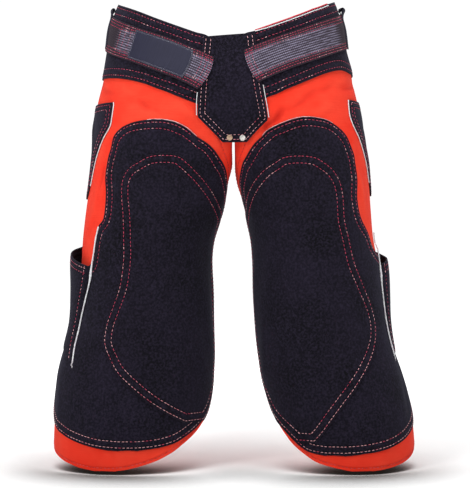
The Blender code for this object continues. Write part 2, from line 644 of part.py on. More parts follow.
def main():
    clear_scene()
    shop = Workshop()
    for side in ("right", "left"):
        build_leg(shop, side)
        build_waist(shop, side)
    build_yoke(shop)
    shop.sheet("belt_back", "right", even_cut(belt_surface, 2, 30), WEBBING, "grey_webbing")
    build_label(shop)
    build_piping(shop)


main()
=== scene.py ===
"""Farrier chaps: the finished canvas, suede, webbing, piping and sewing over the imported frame.

Every piece of cloth is a fine wall on one filled-out form, a waist that parts into two legs, from the same
sections as the solids. A place on a leg is an angle round it, in degrees from straight ahead towards the
outer side, and a height in millimetres.
"""
import math
from collections import namedtuple

import bmesh
import bpy
import numpy as np
from mathutils import Matrix, Vector
from mathutils.kdtree import KDTree


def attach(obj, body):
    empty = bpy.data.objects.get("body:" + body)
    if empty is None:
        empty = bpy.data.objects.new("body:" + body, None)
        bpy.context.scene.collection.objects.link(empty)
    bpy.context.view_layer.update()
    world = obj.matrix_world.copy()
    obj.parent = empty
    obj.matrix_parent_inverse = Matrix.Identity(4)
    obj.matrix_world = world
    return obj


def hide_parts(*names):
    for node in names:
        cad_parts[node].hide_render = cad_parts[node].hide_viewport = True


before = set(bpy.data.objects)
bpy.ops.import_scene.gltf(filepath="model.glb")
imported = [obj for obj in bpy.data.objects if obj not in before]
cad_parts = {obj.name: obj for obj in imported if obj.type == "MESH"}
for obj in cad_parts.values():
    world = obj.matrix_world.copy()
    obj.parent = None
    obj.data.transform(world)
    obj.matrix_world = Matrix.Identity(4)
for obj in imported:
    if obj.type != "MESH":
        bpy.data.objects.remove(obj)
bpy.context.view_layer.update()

bl_info = {
    "name": "Farrier Chaps",
    "version": (1, 0, 0),
    "blender": (4, 5, 0),
    "location": "View3D > Sidebar > Chaps",
    "description": "Models farrier chaps in canvas, suede and webbing, with their sewing",
    "category": "Object",
}

MM = 0.001
SIDES = ("right", "left")

# ---------------------------------------------------------------- sizes, millimetres
CANVAS = 1.6
SUEDE = 1.9
YOKE_SUEDE = 2.2
WEBBING = 1.8
LABEL = 0.9
CANVAS_GAP = 0.9
SEAM_GAP = 0.6
BELT_WIDTH = 50.0
LEG_STRAP_WIDTH = 38.0
CENTRE_CLEARANCE = 1.9
YOKE_BRIDGE = 45.0
BELT_DIP = 20.0
BELT_DIP_START = 125.0
PIPING_RADIUS = {"hip": 0.75, "pocket": 1.05, "yoke": 0.6}
TAB_ROWS = (0.05, 0.12, 0.20, 0.80, 0.88, 0.95)
TAB_RIBS = 15
TAB_CROSSINGS = {
    "right": (0.012, 0.03, 0.055, 0.08, 0.44, 0.465, 0.49),
    "left": (0.012, 0.03, 0.055, 0.90, 0.925),
}
RIVET_DIAMETER = 8.4
RIVET_GAP = 0.9
RIVET_STEPS = [(0.25, 0.5), (0.35, 1.0), (0.6, 1.4), (0.9, 1.7), (1.0, 1.85)]
EDGE_STEP = 1.5         # between the points of an edge

ON_CANVAS = CANVAS + CANVAS_GAP
ON_SUEDE = ON_CANVAS + SUEDE + SEAM_GAP
ON_YOKE = ON_SUEDE + YOKE_SUEDE + SEAM_GAP
ON_BAND = ON_SUEDE + SEAM_GAP
INSIDE = -(WEBBING + 2 * SEAM_GAP)
TRIM_SEAT = CANVAS + 0.4

# ---------------------------------------------------------------- the form, a section for each height
# out and in: where the wall stands sideways from the middle plane, on the outer and the inner side
# front and back: its depth; square: 1 is round, less is a squarer inner corner; lean: sideways shift
Section = namedtuple("Section", "z right_out left_out right_in left_in front back square lean")
SECTIONS = [
    Section(45, 156, 156, -156, -156, 105, 108, 1.00, -10),
    Section(0, 171, 171, -171, -171, 112, 116, 1.00, -10),
    Section(-30, 175, 175, -175, -175, 115, 118, 1.00, -10),
    Section(-60, 182, 181, -165, -164, 116, 118, 0.95, -8),
    Section(-80, 188, 183, -140, -138, 115, 116, 0.80, -6),
    Section(-110, 197, 188, -80, -78, 112, 112, 0.55, -4),
    Section(-150, 204, 191, -20, -20, 106, 106, 0.30, 0),
    Section(-168, 206, 194, 2.6, 2.6, 104, 104, 0.24, 0),
    Section(-200, 209.5, 199, 3.4, 3.4, 101, 100, 0.38, 0),
    Section(-225, 212.5, 201, 9, 6, 100, 98, 0.55, 0),
    Section(-270, 219, 204, 19, 21, 98, 96, 0.85, 0),
    Section(-315, 224, 208, 35, 32, 96, 94, 1.00, 0),
    Section(-345, 225.5, 214, 38, 34.5, 94, 92, 1.00, 0),
    Section(-390, 227.5, 219, 36, 35.5, 92, 90, 1.00, 0),
    Section(-435, 234.5, 225, 35, 38.5, 90, 90, 1.00, 0),
    Section(-480, 250.5, 236.5, 34, 42.5, 89, 90, 1.00, 0),
    Section(-510, 258, 247, 35, 46.5, 89, 90, 1.00, 0),
    Section(-540, 261.5, 256, 37, 52.5, 90, 90, 1.00, 0),
    Section(-600, 266.5, 268, 40, 59.5, 92, 90, 1.00, 0),
    Section(-660, 268, 270, 42, 62, 93, 90, 1.00, 0),
]

# soft folds in the form: centre angle and height, half widths, turn of the fold in degrees per mm, rise
Fold = namedtuple("Fold", "side angle z width height slant rise")
FOLDS = [
    Fold("right", -22, -150, 9, 26, 0.55, -2.2),
    Fold("right", 4, -128, 10, 16, 1.10, 1.6),
    Fold("right", 112, -330, 10, 90, 0.05, -4.0),
    Fold("right", 104, -560, 12, 70, -0.03, 4.5),
    Fold("right", -62, -330, 11, 60, 0.10, -2.2),
    Fold("right", 22, -600, 10, 60, 0.02, 1.8),
    Fold("right", -12, -618, 10, 55, 0.02, -1.8),
    Fold("left", -20, -146, 9, 26, 0.60, -2.4),
    Fold("left", 8, -124, 10, 15, 1.20, 1.6),
    Fold("left", 110, -310, 11, 80, 0.04, -3.6),
    Fold("left", 106, -545, 12, 75, -0.02, 4.2),
    Fold("left", -60, -345, 12, 60, 0.10, -2.0),
    Fold("left", 30, -604, 10, 60, 0.02, 1.8),
    Fold("left", -8, -622, 10, 50, 0.02, -1.8),
]

# ---------------------------------------------------------------- outlines, a row for each height
# each row runs across one piece, from its inner edge to its outer edge, in degrees round the leg
Row = namedtuple("Row", "z inner outer")

LEG_PANEL = {
    "right": [
        Row(-63, 58, 84), Row(-66, 47, 106), Row(-76, 34, 116), Row(-91, 14, 119),
        Row(-107, -8, 120), Row(-118, -26, 121), Row(-134, -44, 122), Row(-152, -66, 122),
        Row(-166, -84, 122), Row(-182, -88, 122), Row(-204, -91, 122), Row(-235, -92, 122),
        Row(-280, -94, 123), Row(-340, -95, 124), Row(-420, -95, 124), Row(-490, -95, 123),
        Row(-530, -93, 122), Row(-552, -88, 121), Row(-570, -80, 119), Row(-584, -68, 115),
        Row(-597, -57, 109), Row(-610, -45, 99), Row(-623, -33, 81), Row(-634, -20, 60),
        Row(-642, -5, 41), Row(-646, 8, 24),
    ],
    "left": [
        Row(-54, 62, 84), Row(-57, 51, 106), Row(-68, 37, 116), Row(-84, 17, 119),
        Row(-101, -5, 120), Row(-113, -22, 121), Row(-131, -40, 122), Row(-150, -64, 122),
        Row(-166, -84, 122), Row(-182, -88, 122), Row(-204, -90, 122), Row(-235, -91, 122),
        Row(-280, -93, 123), Row(-340, -95, 124), Row(-420, -95, 124), Row(-490, -95, 123),
        Row(-525, -92, 122), Row(-548, -84, 121), Row(-565, -77, 119), Row(-580, -68, 115),
        Row(-595, -58, 109), Row(-609, -49, 99), Row(-622, -38, 82), Row(-634, -26, 62),
        Row(-642, -10, 42), Row(-646, 2, 22),
    ],
}

THIGH_PATCH = {
    "right": [
        Row(-142, 7, 14), Row(-145, -2, 27), Row(-152, -12.5, 35.5), Row(-163, -27, 40.5),
        Row(-178, -44.5, 43), Row(-200, -59, 45.5), Row(-222, -73, 45.5), Row(-250, -84, 41.5),
        Row(-282, -90, 40), Row(-294, -91, 44.5), Row(-312, -92, 47), Row(-334, -92, 48.5),
        Row(-350, -93, 52), Row(-356, -93, 70), Row(-366, -93, 104), Row(-384, -93, 119.5),
        Row(-440, -93, 120), Row(-490, -93, 119.5), Row(-522, -91, 118.5), Row(-545, -84, 115),
        Row(-562, -76, 104), Row(-577, -67, 84), Row(-590, -55.5, 68), Row(-601, -44, 51),
        Row(-609, -33.5, 34), Row(-614, -21, 19), Row(-616, -8, 6),
    ],
    "left": [
        Row(-138.5, 11, 17), Row(-142, 1.5, 28), Row(-150, -12.5, 35), Row(-161, -31, 40.5),
        Row(-176, -46, 44.5), Row(-200, -59, 47.5), Row(-226, -70, 49), Row(-254, -81, 46.5),
        Row(-282, -89, 49), Row(-305, -92, 60), Row(-328, -92, 67), Row(-341, -93, 86),
        Row(-352, -93, 114), Row(-390, -93, 119.5), Row(-440, -93, 120), Row(-490, -92, 119.5),
        Row(-520, -89, 120), Row(-545, -80, 115), Row(-563, -73, 104), Row(-578, -67, 86),
        Row(-592, -55, 70), Row(-604, -46, 54), Row(-613, -39, 38), Row(-620, -31.5, 19),
        Row(-623.5, -18, -2),
    ],
}

KNEE_PATCH = {
    "right": [
        Row(-189.5, -8, 0), Row(-192, -16, 8), Row(-199, -22, 15), Row(-210, -30, 23.5),
        Row(-227, -43, 27.5), Row(-250, -59, 26.5), Row(-280, -79, 22), Row(-310, -87, 18),
        Row(-342, -88, 16.5), Row(-380, -88, 19.5), Row(-412, -88, 25), Row(-436, -88, 28),
        Row(-462, -88, 26), Row(-486, -88, 18.5), Row(-506, -87, 11), Row(-528, -88, -1),
        Row(-548, -82, -14), Row(-566, -74, -29), Row(-579, -66, -43),
    ],
    "left": [
        Row(-190.5, -9, 0), Row(-193, -18, 9), Row(-200, -25, 16), Row(-212, -37, 24),
        Row(-230, -50, 29.5), Row(-252, -66, 30.5), Row(-284, -85, 29), Row(-312, -87, 31),
        Row(-345, -88, 32.5), Row(-376, -88, 39.5), Row(-404, -88, 46.5), Row(-430, -88, 50),
        Row(-455, -88, 47.5), Row(-477, -87, 40), Row(-500, -86.5, 28.5), Row(-522, -87, 17),
        Row(-546, -79, 4), Row(-570, -68, -8), Row(-592, -51, -18), Row(-606, -41, -25),
    ],
}

HIP_POCKET = {
    "right": [
        Row(-114, 53, 113), Row(-122, 51.7, 113.5), Row(-136, 51, 114), Row(-149, 51, 114),
        Row(-160, 54.5, 114), Row(-176, 60.8, 114), Row(-194, 66.5, 113), Row(-214, 70.5, 112),
        Row(-234, 73.5, 108), Row(-247, 77, 100), Row(-253, 84, 91),
    ],
    "left": [
        Row(-110, 60.5, 113), Row(-120, 58.5, 113.5), Row(-132, 56.5, 114), Row(-142, 57, 114),
        Row(-154, 59.5, 114), Row(-171, 65, 114), Row(-189, 69.5, 113), Row(-209, 74, 112),
        Row(-229, 78, 108), Row(-242, 82, 102), Row(-248, 88, 95),
    ],
}

# columns along the hip band, from the end under the yoke to the side: its lower and its upper edge
Column = namedtuple("Column", "angle low high")
HIP_BAND = {
    "right": [
        Column(-14.5, -122.5, -118), Column(-9, -119.5, -98), Column(0, -114, -60),
        Column(7.5, -109, -27), Column(15, -103.5, -18), Column(25, -96.5, -7),
        Column(35, -89, 3.5), Column(48, -82, 16), Column(62, -77.5, 26), Column(80, -75, 35),
        Column(92, -74.5, 38), Column(99, -74, 36), Column(102, -72, 30),
    ],
    "left": [
        Column(-11, -116.5, -112), Column(-6, -113.5, -91), Column(0, -109.5, -61),
        Column(7, -105.5, -25), Column(14, -100, -16), Column(24, -92.5, -5),
        Column(35, -83.5, 6.5), Column(48, -73, 19), Column(62, -66, 29.5), Column(76, -68, 37),
        Column(90, -69.5, 41.5), Column(98, -70, 39.5), Column(101, -68, 33),
    ],
}

# rows across the front yoke: each end as a sideways place and a height
YokeRow = namedtuple("YokeRow", "right_x right_z left_x left_z")
YOKE = [
    YokeRow(-42, -25.5, 30, -20), YokeRow(-44, -45, 32.5, -40), YokeRow(-47, -75, 37, -72),
    YokeRow(-49.3, -103, 42, -102), YokeRow(-50.6, -124, 46.5, -124), YokeRow(-50.6, -137, 49, -141),
    YokeRow(-46, -142.5, 46, -145), YokeRow(-36, -152.5, 37, -154), YokeRow(-26, -162.5, 28, -163.5),
    YokeRow(-16, -173, 20, -173),
]

# the belt's middle line, from the front tip of a tab round the side
Place = namedtuple("Place", "angle z")
TAB_LINE = {
    "right": [Place(2, -77), Place(15, -63.5), Place(29, -49), Place(50, -30), Place(75, -12),
              Place(92, -3), Place(108, 0), Place(126, 0)],
    "left": [Place(5, -67.5), Place(18, -54), Place(31, -41), Place(55, -20.5), Place(80, -6),
             Place(95, -1), Place(108, 0), Place(126, 0)],
}
BELT_START = 107        # the back belt's end, under the tab
LABEL_SPAN = (0.13, 0.42)   # along the tab's line, from its tip
LABEL_WIDTH = 42.0
LEG_STRAP_Z = -430
LEG_STRAP_SPAN = (112, 276)

# rows across the hollow side pocket, from its front seam to its back seam, and how far it stands off
PocketRow = namedtuple("PocketRow", "front_angle front_z back_angle back_z fullness")
SIDE_POCKET = {
    "right": [
        PocketRow(50.5, -352, 119, -318, 12.0), PocketRow(52.5, -367, 119, -334, 12.0),
        PocketRow(56, -388, 119, -356, 11.0), PocketRow(59.5, -410, 119, -378, 9.5),
        PocketRow(61, -438, 119, -404, 6.5), PocketRow(58.5, -462, 119, -424, 3.5),
        PocketRow(55.5, -481, 119, -437, 1.3), PocketRow(54, -493, 119, -446, 0.0),
    ],
    "left": [
        PocketRow(76, -350, 128, -330, 12.5), PocketRow(75.5, -366, 128, -344, 12.5),
        PocketRow(75, -388, 128, -362, 11.5), PocketRow(75.5, -412, 128, -384, 9.0),
        PocketRow(75, -438, 128, -404, 6.0), PocketRow(74, -460, 128, -422, 3.2),
        PocketRow(73.5, -476, 128, -434, 1.2), PocketRow(73, -486, 128, -442, 0.0),
    ],
}

# white piping: the route of each trim on the form, with the height of what it lies on
Trim = namedtuple("Trim", "angle z base")
PIPING = {
    "hip_piping_right": [
        Trim(51.8, -114, TRIM_SEAT), Trim(50.5, -122, TRIM_SEAT), Trim(49.8, -136, TRIM_SEAT),
        Trim(49.8, -149, TRIM_SEAT), Trim(53.1, -161, TRIM_SEAT), Trim(59.4, -177, TRIM_SEAT),
        Trim(65.1, -195, TRIM_SEAT), Trim(69.1, -215, TRIM_SEAT), Trim(71.9, -234, TRIM_SEAT)],
    "hip_piping_left": [
        Trim(59.2, -110, TRIM_SEAT), Trim(57.2, -120, TRIM_SEAT), Trim(55.2, -132, TRIM_SEAT),
        Trim(55.6, -143, TRIM_SEAT), Trim(58.5, -155, TRIM_SEAT), Trim(63.6, -172, TRIM_SEAT),
        Trim(68.1, -190, TRIM_SEAT), Trim(72.5, -210, TRIM_SEAT), Trim(76.3, -229, TRIM_SEAT)],
    "pocket_piping_right": [
        Trim(43.2, -295, ON_SUEDE), Trim(44.5, -311, ON_SUEDE), Trim(46, -332, ON_SUEDE),
        Trim(48.2, -352, ON_SUEDE), Trim(50.5, -373, ON_SUEDE), Trim(55.2, -400, ON_SUEDE),
        Trim(58.2, -430, ON_SUEDE), Trim(55.8, -460, ON_SUEDE), Trim(53, -484, ON_SUEDE),
        Trim(52, -494, ON_SUEDE)],
    "pocket_piping_left": [
        Trim(84, -303, ON_CANVAS), Trim(80.5, -317, ON_CANVAS), Trim(77, -328, ON_SUEDE),
        Trim(74.5, -343, ON_SUEDE), Trim(73.7, -360, ON_SUEDE), Trim(73.2, -388, ON_SUEDE),
        Trim(73.5, -412, ON_SUEDE), Trim(73, -438, ON_SUEDE), Trim(72, -460, ON_SUEDE),
        Trim(71.2, -486, ON_SUEDE)],
}
YOKE_PIPING = {
    "yoke_piping_right": [(-51.0, -104), (-52.0, -114), (-52.4, -124), (-52.4, -136)],
    "yoke_piping_left": [(42.5, -93.5), (45.0, -108), (48.3, -124), (50.6, -139)],
}
RIVETS = {"rivet_right": (-5.5, -167.0), "rivet_left": (13.5, -167.5)}


# the curled webbing ends at the hips: the middle angle, the height, the reach in degrees and the curl's spread
KEEPERS = {"right": (82.0, 13.0, 10.0, 1.3), "left": (84.0, 13.0, 12.0, 2.8)}
CURL = [(-42.0, 0.2), (-22.0, 0.2), (-8.0, 0.2), (1.0, 0.3), (7.0, 1.2), (11.0, 2.6), (13.3, 2.4), (13.6, 0.2),
        (12.0, -1.6), (9.0, -2.2)]
# the angles between which a pale cord lies along the thigh patches' top edge as a painted highlight on their rim
RIM_HIGHLIGHT_SPAN = {"right": (-31, 18), "left": (-36, 33)}
BAND_TRIM_SPAN = (13.5, 64.0)

# soft creases in the canvas and the suede that lies on it: where each is centred, its half length and half
# width in millimetres, how its length is turned from upright, and how far it rises or sinks
Crease = namedtuple("Crease", "side angle z length width turn rise")
CREASES = [
    Crease("right", 24, -122, 34, 6, 62, -2.0), Crease("right", 14, -140, 26, 5, 48, 1.5),
    Crease("right", 60, -112, 40, 8, 74, -1.0), Crease("right", 84, -150, 38, 7, 18, 1.7),
    Crease("right", 100, -210, 60, 8, 6, -1.8), Crease("right", 56, -262, 34, 7, -22, 1.0),
    Crease("right", -50, -208, 30, 6, -36, -1.8), Crease("right", -72, -262, 46, 7, -16, 1.2),
    Crease("right", -78, -398, 60, 8, 8, -1.2), Crease("right", 30, -452, 46, 12, 58, 0.9),
    Crease("right", -16, -330, 70, 16, 4, -0.8), Crease("right", 66, -566, 52, 9, 12, 1.4),
    Crease("right", 12, -606, 30, 9, 8, -1.2), Crease("right", -38, -590, 34, 8, -18, 1.1),
    Crease("right", 96, -456, 44, 8, -6, -1.0), Crease("right", 44, -178, 22, 6, 30, -1.2),
    Crease("left", 20, -116, 36, 6, 66, -2.2), Crease("left", 14, -130, 30, 5, 62, 1.2),
    Crease("left", 30, -128, 26, 5, 70, 1.7), Crease("left", 64, -104, 36, 8, 78, 0.9),
    Crease("left", 88, -158, 42, 7, 14, -1.7), Crease("left", 98, -232, 54, 8, 4, 1.8),
    Crease("left", 58, -286, 30, 7, -26, -1.0), Crease("left", -52, -214, 32, 6, -38, 1.8),
    Crease("left", -74, -250, 40, 7, -12, -1.3), Crease("left", -80, -420, 64, 8, 6, 1.1),
    Crease("left", 36, -470, 44, 12, 60, -0.9), Crease("left", -12, -350, 74, 16, -4, 0.8),
    Crease("left", 70, -548, 50, 9, 14, -1.3), Crease("left", 8, -612, 32, 9, 6, 1.1),
    Crease("left", -34, -600, 30, 8, -16, -1.2), Crease("left", 100, -470, 48, 8, -8, 1.0),
    Crease("left", 46, -190, 24, 6, 34, 1.2),
    Crease("right", -20, -147, 30, 6, 54, -0.9), Crease("right", -6, -131, 30, 5, 64, 2.2),
    Crease("right", 66, -97, 40, 6, 78, -1.6), Crease("right", 40, -103, 36, 5, 70, 1.3),
    Crease("right", 92, -128, 34, 5, 30, 2.1), Crease("right", 52, -222, 30, 5, -10, -2.0),
    Crease("right", 58, -300, 26, 5, -30, -1.3), Crease("right", -60, -452, 40, 9, 14, -1.0),
    Crease("left", -9, -141, 24, 4.5, 62, -3.4), Crease("left", -14, -137, 22, 4, 60, 1.6),
    Crease("left", -24, -152, 24, 4, 52, -2.4), Crease("left", 72, -91, 40, 5, 80, -1.7),
    Crease("left", 58, -84, 32, 5, 84, 1.2), Crease("left", 42, -97, 34, 5, 72, -1.4),
    Crease("left", 90, -122, 30, 5, 26, -2.1), Crease("left", 56, -232, 30, 5, -14, 2.0),
    Crease("left", -66, -470, 44, 9, 12, 1.0),
]


# ---------------------------------------------------------------- the form
def monotone(heights, values, z):
    """A smooth curve through a table that never overshoots its values."""
    step = np.diff(heights)
    rise = np.diff(values) / step
    slope = np.gradient(values, heights)
    for i, r in enumerate(rise):
        if abs(r) < 1e-9:
            slope[i] = slope[i + 1] = 0.0
            continue
        a, b = max(slope[i] / r, 0.0), max(slope[i + 1] / r, 0.0)
        limit = min(1.0, 3.0 / max(math.hypot(a, b), 1e-9))
        slope[i], slope[i + 1] = limit * a * r, limit * b * r
    i = np.clip(np.searchsorted(heights, z, side="right") - 1, 0, len(step) - 1)
    t = (z - heights[i]) / step[i]
    return ((1 + 2 * t) * (1 - t) ** 2 * values[i] + t * (1 - t) ** 2 * step[i] * slope[i]
            + t * t * (3 - 2 * t) * values[i + 1] + t * t * (t - 1) * step[i] * slope[i + 1])


FORM_Z = np.arange(-660.0, 45.5, 0.5)
FORM = {name: monotone(np.array([row.z for row in reversed(SECTIONS)], float),
                       np.array([getattr(row, name) for row in reversed(SECTIONS)], float), FORM_Z)
        for name in Section._fields[1:]}


def outward(side):
    return -1.0 if side == "right" else 1.0


def unit(vectors):
    return vectors / np.maximum(np.linalg.norm(vectors, axis=1), 1e-9)[:, None]


def section(side, z):
    """Centre, half width, front depth, back depth, squareness and lean of one leg at each height."""
    at = {name: np.interp(z, FORM_Z, column) for name, column in FORM.items()}
    outer, inner = at[side + "_out"], at[side + "_in"]
    return (outer + inner) / 2, (outer - inner) / 2, at["front"], at["back"], at["square"], at["lean"]


def form_points(side, angle, z):
    """Points of the form, from their angles and heights."""
    centre, half, front, back, square, lean = section(side, z)
    s, c = np.sin(np.radians(angle)), np.cos(np.radians(angle))
    swell = np.ones_like(s)
    for fold in FOLDS:
        if fold.side == side:
            across = (angle - fold.angle - fold.slant * (z - fold.z)) / fold.width
            along = (z - fold.z) / fold.height
            swell += fold.rise / 100.0 * np.exp(-across * across - along * along)
    depth = np.where(c > 0, -front * np.abs(c) ** np.where(s < 0, square, 1.0), back * np.abs(c))
    return np.stack([lean + outward(side) * (centre + half * s * swell), depth * swell, z], axis=1)


def form_frames(side, angle, z):
    """Points of the form, their outward normals, and the way it runs per degree and per millimetre."""
    turn = (form_points(side, angle + 0.1, z) - form_points(side, angle - 0.1, z)) / 0.2
    drop = form_points(side, angle, z + 0.5) - form_points(side, angle, z - 0.5)
    return form_points(side, angle, z), unit(np.cross(turn, drop)) * outward(side), turn, drop


def crease_rise(side, angle, z):
    """How far the creases lift or sink the cloth."""
    half = section(side, z)[1]
    rise = np.zeros_like(z)
    for crease in CREASES:
        if crease.side == side:
            x, y = (angle - crease.angle) * half * math.pi / 180, z - crease.z
            s, c = math.sin(math.radians(crease.turn)), math.cos(math.radians(crease.turn))
            along, across = (x * s + y * c) / crease.length, (x * c - y * s) / crease.width
            bend = across + 0.5 * along * along
            rise += crease.rise * np.exp(-along * along - bend * bend)
    return rise


def lifted(side, angle, z, lift):
    point, normal, _, _ = form_frames(side, angle, z)
    return point + normal * (lift + crease_rise(side, angle, z))[:, None]


def steps_on(first, second, way):
    """How far to go along two directions of a surface to follow a way in space, row by row."""
    aa, ab, bb = (np.einsum("ij,ij->i", p, q) for p, q in ((first, first), (first, second), (second, second)))
    aw, bw = np.einsum("ij,ij->i", first, way), np.einsum("ij,ij->i", second, way)
    size = aa * bb - ab * ab
    return np.stack([(aw * bb - bw * ab) / size, (bw * aa - aw * ab) / size], axis=1)


def yoke_points(x, z, lift):
    """Points of the yoke, which bridges the hollow between the legs."""
    lean = section("right", z)[5]
    reach = np.abs(x - lean)
    t = reach / YOKE_BRIDGE
    reach = np.where(t < 1.0, YOKE_BRIDGE * (0.375 + 0.75 * t * t - 0.125 * t ** 4), reach)
    depth = np.zeros_like(x)
    for side in SIDES:
        here = x < lean if side == "right" else x >= lean
        centre, half = section(side, z)[:2]
        aim = reach.copy()
        for _ in range(3):
            angle = np.degrees(np.arcsin(np.clip((aim - centre) / half, -1.0, 1.0)))
            point, normal, _, _ = form_frames(side, angle, z)
            point = point + normal * lift[:, None]
            aim += reach - np.abs(point[:, 0] - lean)
        depth[here] = point[here, 1]
    return np.stack([x, depth, z], axis=1)


# ---------------------------------------------------------------- tables to surfaces
def spline(rows, t):
    """A smooth curve through the rows of a table, t from 0 at the first row to 1 at the last."""
    table = np.array(rows, float)
    place = np.asarray(t, float) * (len(table) - 1)
    i = np.clip(place.astype(int), 0, len(table) - 2)
    f = (place - i)[:, None]
    before, start = table[np.maximum(i - 1, 0)], table[i]
    end, after = table[i + 1], table[np.minimum(i + 2, len(table) - 1)]
    return 0.5 * (2 * start + (end - before) * f + (2 * before - 5 * start + 4 * end - after) * f * f
                  + (3 * start - before - 3 * end + after) * f ** 3)


def leg_surface(side, lift):
    """A surface at a height above the form, from angles and heights."""
    return lambda flat, extra: lifted(side, flat[:, 0], flat[:, 1], lift + extra)


def creases_on(side):
    """How far the creases lift a leg's cloth, from angles and heights."""
    return lambda flat: crease_rise(side, flat[:, 0], flat[:, 1])


def yoke_surface(flat, extra):
    """The yoke's surface, from sideways places and heights."""
    return yoke_points(flat[:, 0], flat[:, 1], ON_SUEDE + extra)


def strap_surface(side, line, width, lift):
    """A strap of even width along a line on the form, from shares of its width and its length."""
    def place(flat, extra):
        t = flat[:, 1]
        here = spline(line, t)
        ahead, behind = spline(line, np.clip(t + 0.01, 0, 1)), spline(line, np.clip(t - 0.01, 0, 1))
        _, normal, turn, drop = form_frames(side, here[:, 0], here[:, 1])
        along = form_points(side, ahead[:, 0], ahead[:, 1]) - form_points(side, behind[:, 0], behind[:, 1])
        across = unit(np.cross(normal, along)) * outward(side)
        edge = here + steps_on(turn, drop, across * ((flat[:, 0] - 0.5) * width)[:, None])
        point, normal, _, _ = form_frames(side, edge[:, 0], edge[:, 1])
        return point + normal * (lift(t) + extra)[:, None]
    return place


def belt_surface(flat, extra):
    """The belt round the back, from under one tab to under the other."""
    angle = BELT_START + (360 - 2 * BELT_START) * flat[:, 1]
    near = np.minimum(angle, 360 - angle)
    dip = np.maximum(near - BELT_DIP_START, 0.0) / (180 - BELT_DIP_START)
    z = (flat[:, 0] - 0.5) * BELT_WIDTH - BELT_DIP * dip * dip * (3 - 2 * dip)
    right = lifted("right", near, z, ON_CANVAS + extra)
    left = lifted("left", near, z, ON_CANVAS + extra)
    return np.where((angle <= 180)[:, None], right, left)


def pocket_surface(side):
    """The side pocket's wall, standing off the leg between its seams and open at the rim."""
    def place(flat, extra):
        u = flat[:, 0]
        front_angle, front_z, back_angle, back_z, fullness = spline(SIDE_POCKET[side], flat[:, 1]).T
        bulge = np.maximum(fullness, 0.0) * (4 * u * (1 - u)) ** 0.6
        angle, z = front_angle + (back_angle - front_angle) * u, front_z + (back_z - front_z) * u
        return lifted(side, angle, z, ON_SUEDE + bulge + extra)
    return place


def keeper_surface(side):
    """A webbing end that stands above the belt at the hip and curls over on itself."""
    def place(flat, extra):
        angle, height, reach, spread = KEEPERS[side]
        rise, out = spline(CURL, flat[:, 1]).T
        out = np.where(out > 0.2, 0.2 + (out - 0.2) * spread, out)
        point, normal, _, _ = form_frames(side, angle + (flat[:, 0] - 0.5) * reach, height + rise)
        before = spline(CURL, np.clip(flat[:, 1] - 0.02, 0, 1))
        after = spline(CURL, np.clip(flat[:, 1] + 0.02, 0, 1))
        run = unit(after - before)
        return (point + normal * (ON_YOKE + out + run[:, 0] * extra)[:, None]
                + np.stack([0 * rise, 0 * rise, -run[:, 1] * extra], axis=1))
    return place


def tab_lift(t):
    """The tab lies on the hip band, and climbs over the yoke's edge near its tip."""
    climb = np.clip((0.22 - t) / 0.14, 0.0, 1.0)
    return ON_BAND + (ON_YOKE - ON_BAND) * climb * climb * (3 - 2 * climb)


# ---------------------------------------------------------------- cutting
def row_grid(side, rows, across, along, stop_at_centre=False):
    """Places between the inner and the outer edge of a piece given by rows."""
    z, inner, outer = spline(rows, np.linspace(0, 1, along + 1)).T
    if stop_at_centre:
        centre, half, _, _, _, lean = section(side, z)
        reach = (CENTRE_CLEARANCE - outward(side) * lean - centre) / half
        inner = np.maximum(inner, np.degrees(np.arcsin(np.clip(reach, -1.0, 1.0))))
    share = np.linspace(0, 1, across + 1)[None, :]
    angle = inner[:, None] + (outer - inner)[:, None] * share
    return np.stack([angle, np.repeat(z[:, None], across + 1, axis=1)], axis=2)


def column_grid(columns, across, along):
    """Places between the upper and the lower edge of a piece given by columns."""
    angle, low, high = spline(columns, np.linspace(0, 1, along + 1)).T
    share = np.linspace(0, 1, across + 1)[:, None]
    z = high[None, :] + (low - high)[None, :] * share
    return np.stack([np.repeat(angle[None, :], across + 1, axis=0), z], axis=2)


def yoke_grid(across, along):
    """Places between the two ends of each row of the yoke."""
    right_x, right_z, left_x, left_z = spline(YOKE, np.linspace(0, 1, along + 1)).T
    share = np.linspace(0, 1, across + 1)[None, :]
    x = right_x[:, None] + (left_x - right_x)[:, None] * share
    z = right_z[:, None] + (left_z - right_z)[:, None] * share
    return np.stack([x, z], axis=2)


def strap_grid(across, along, start=0.0, end=1.0):
    """Places over the width and the length of a strap."""
    u, v = np.meshgrid(np.linspace(0, 1, across + 1), np.linspace(start, end, along + 1))
    return np.stack([u, v], axis=2)


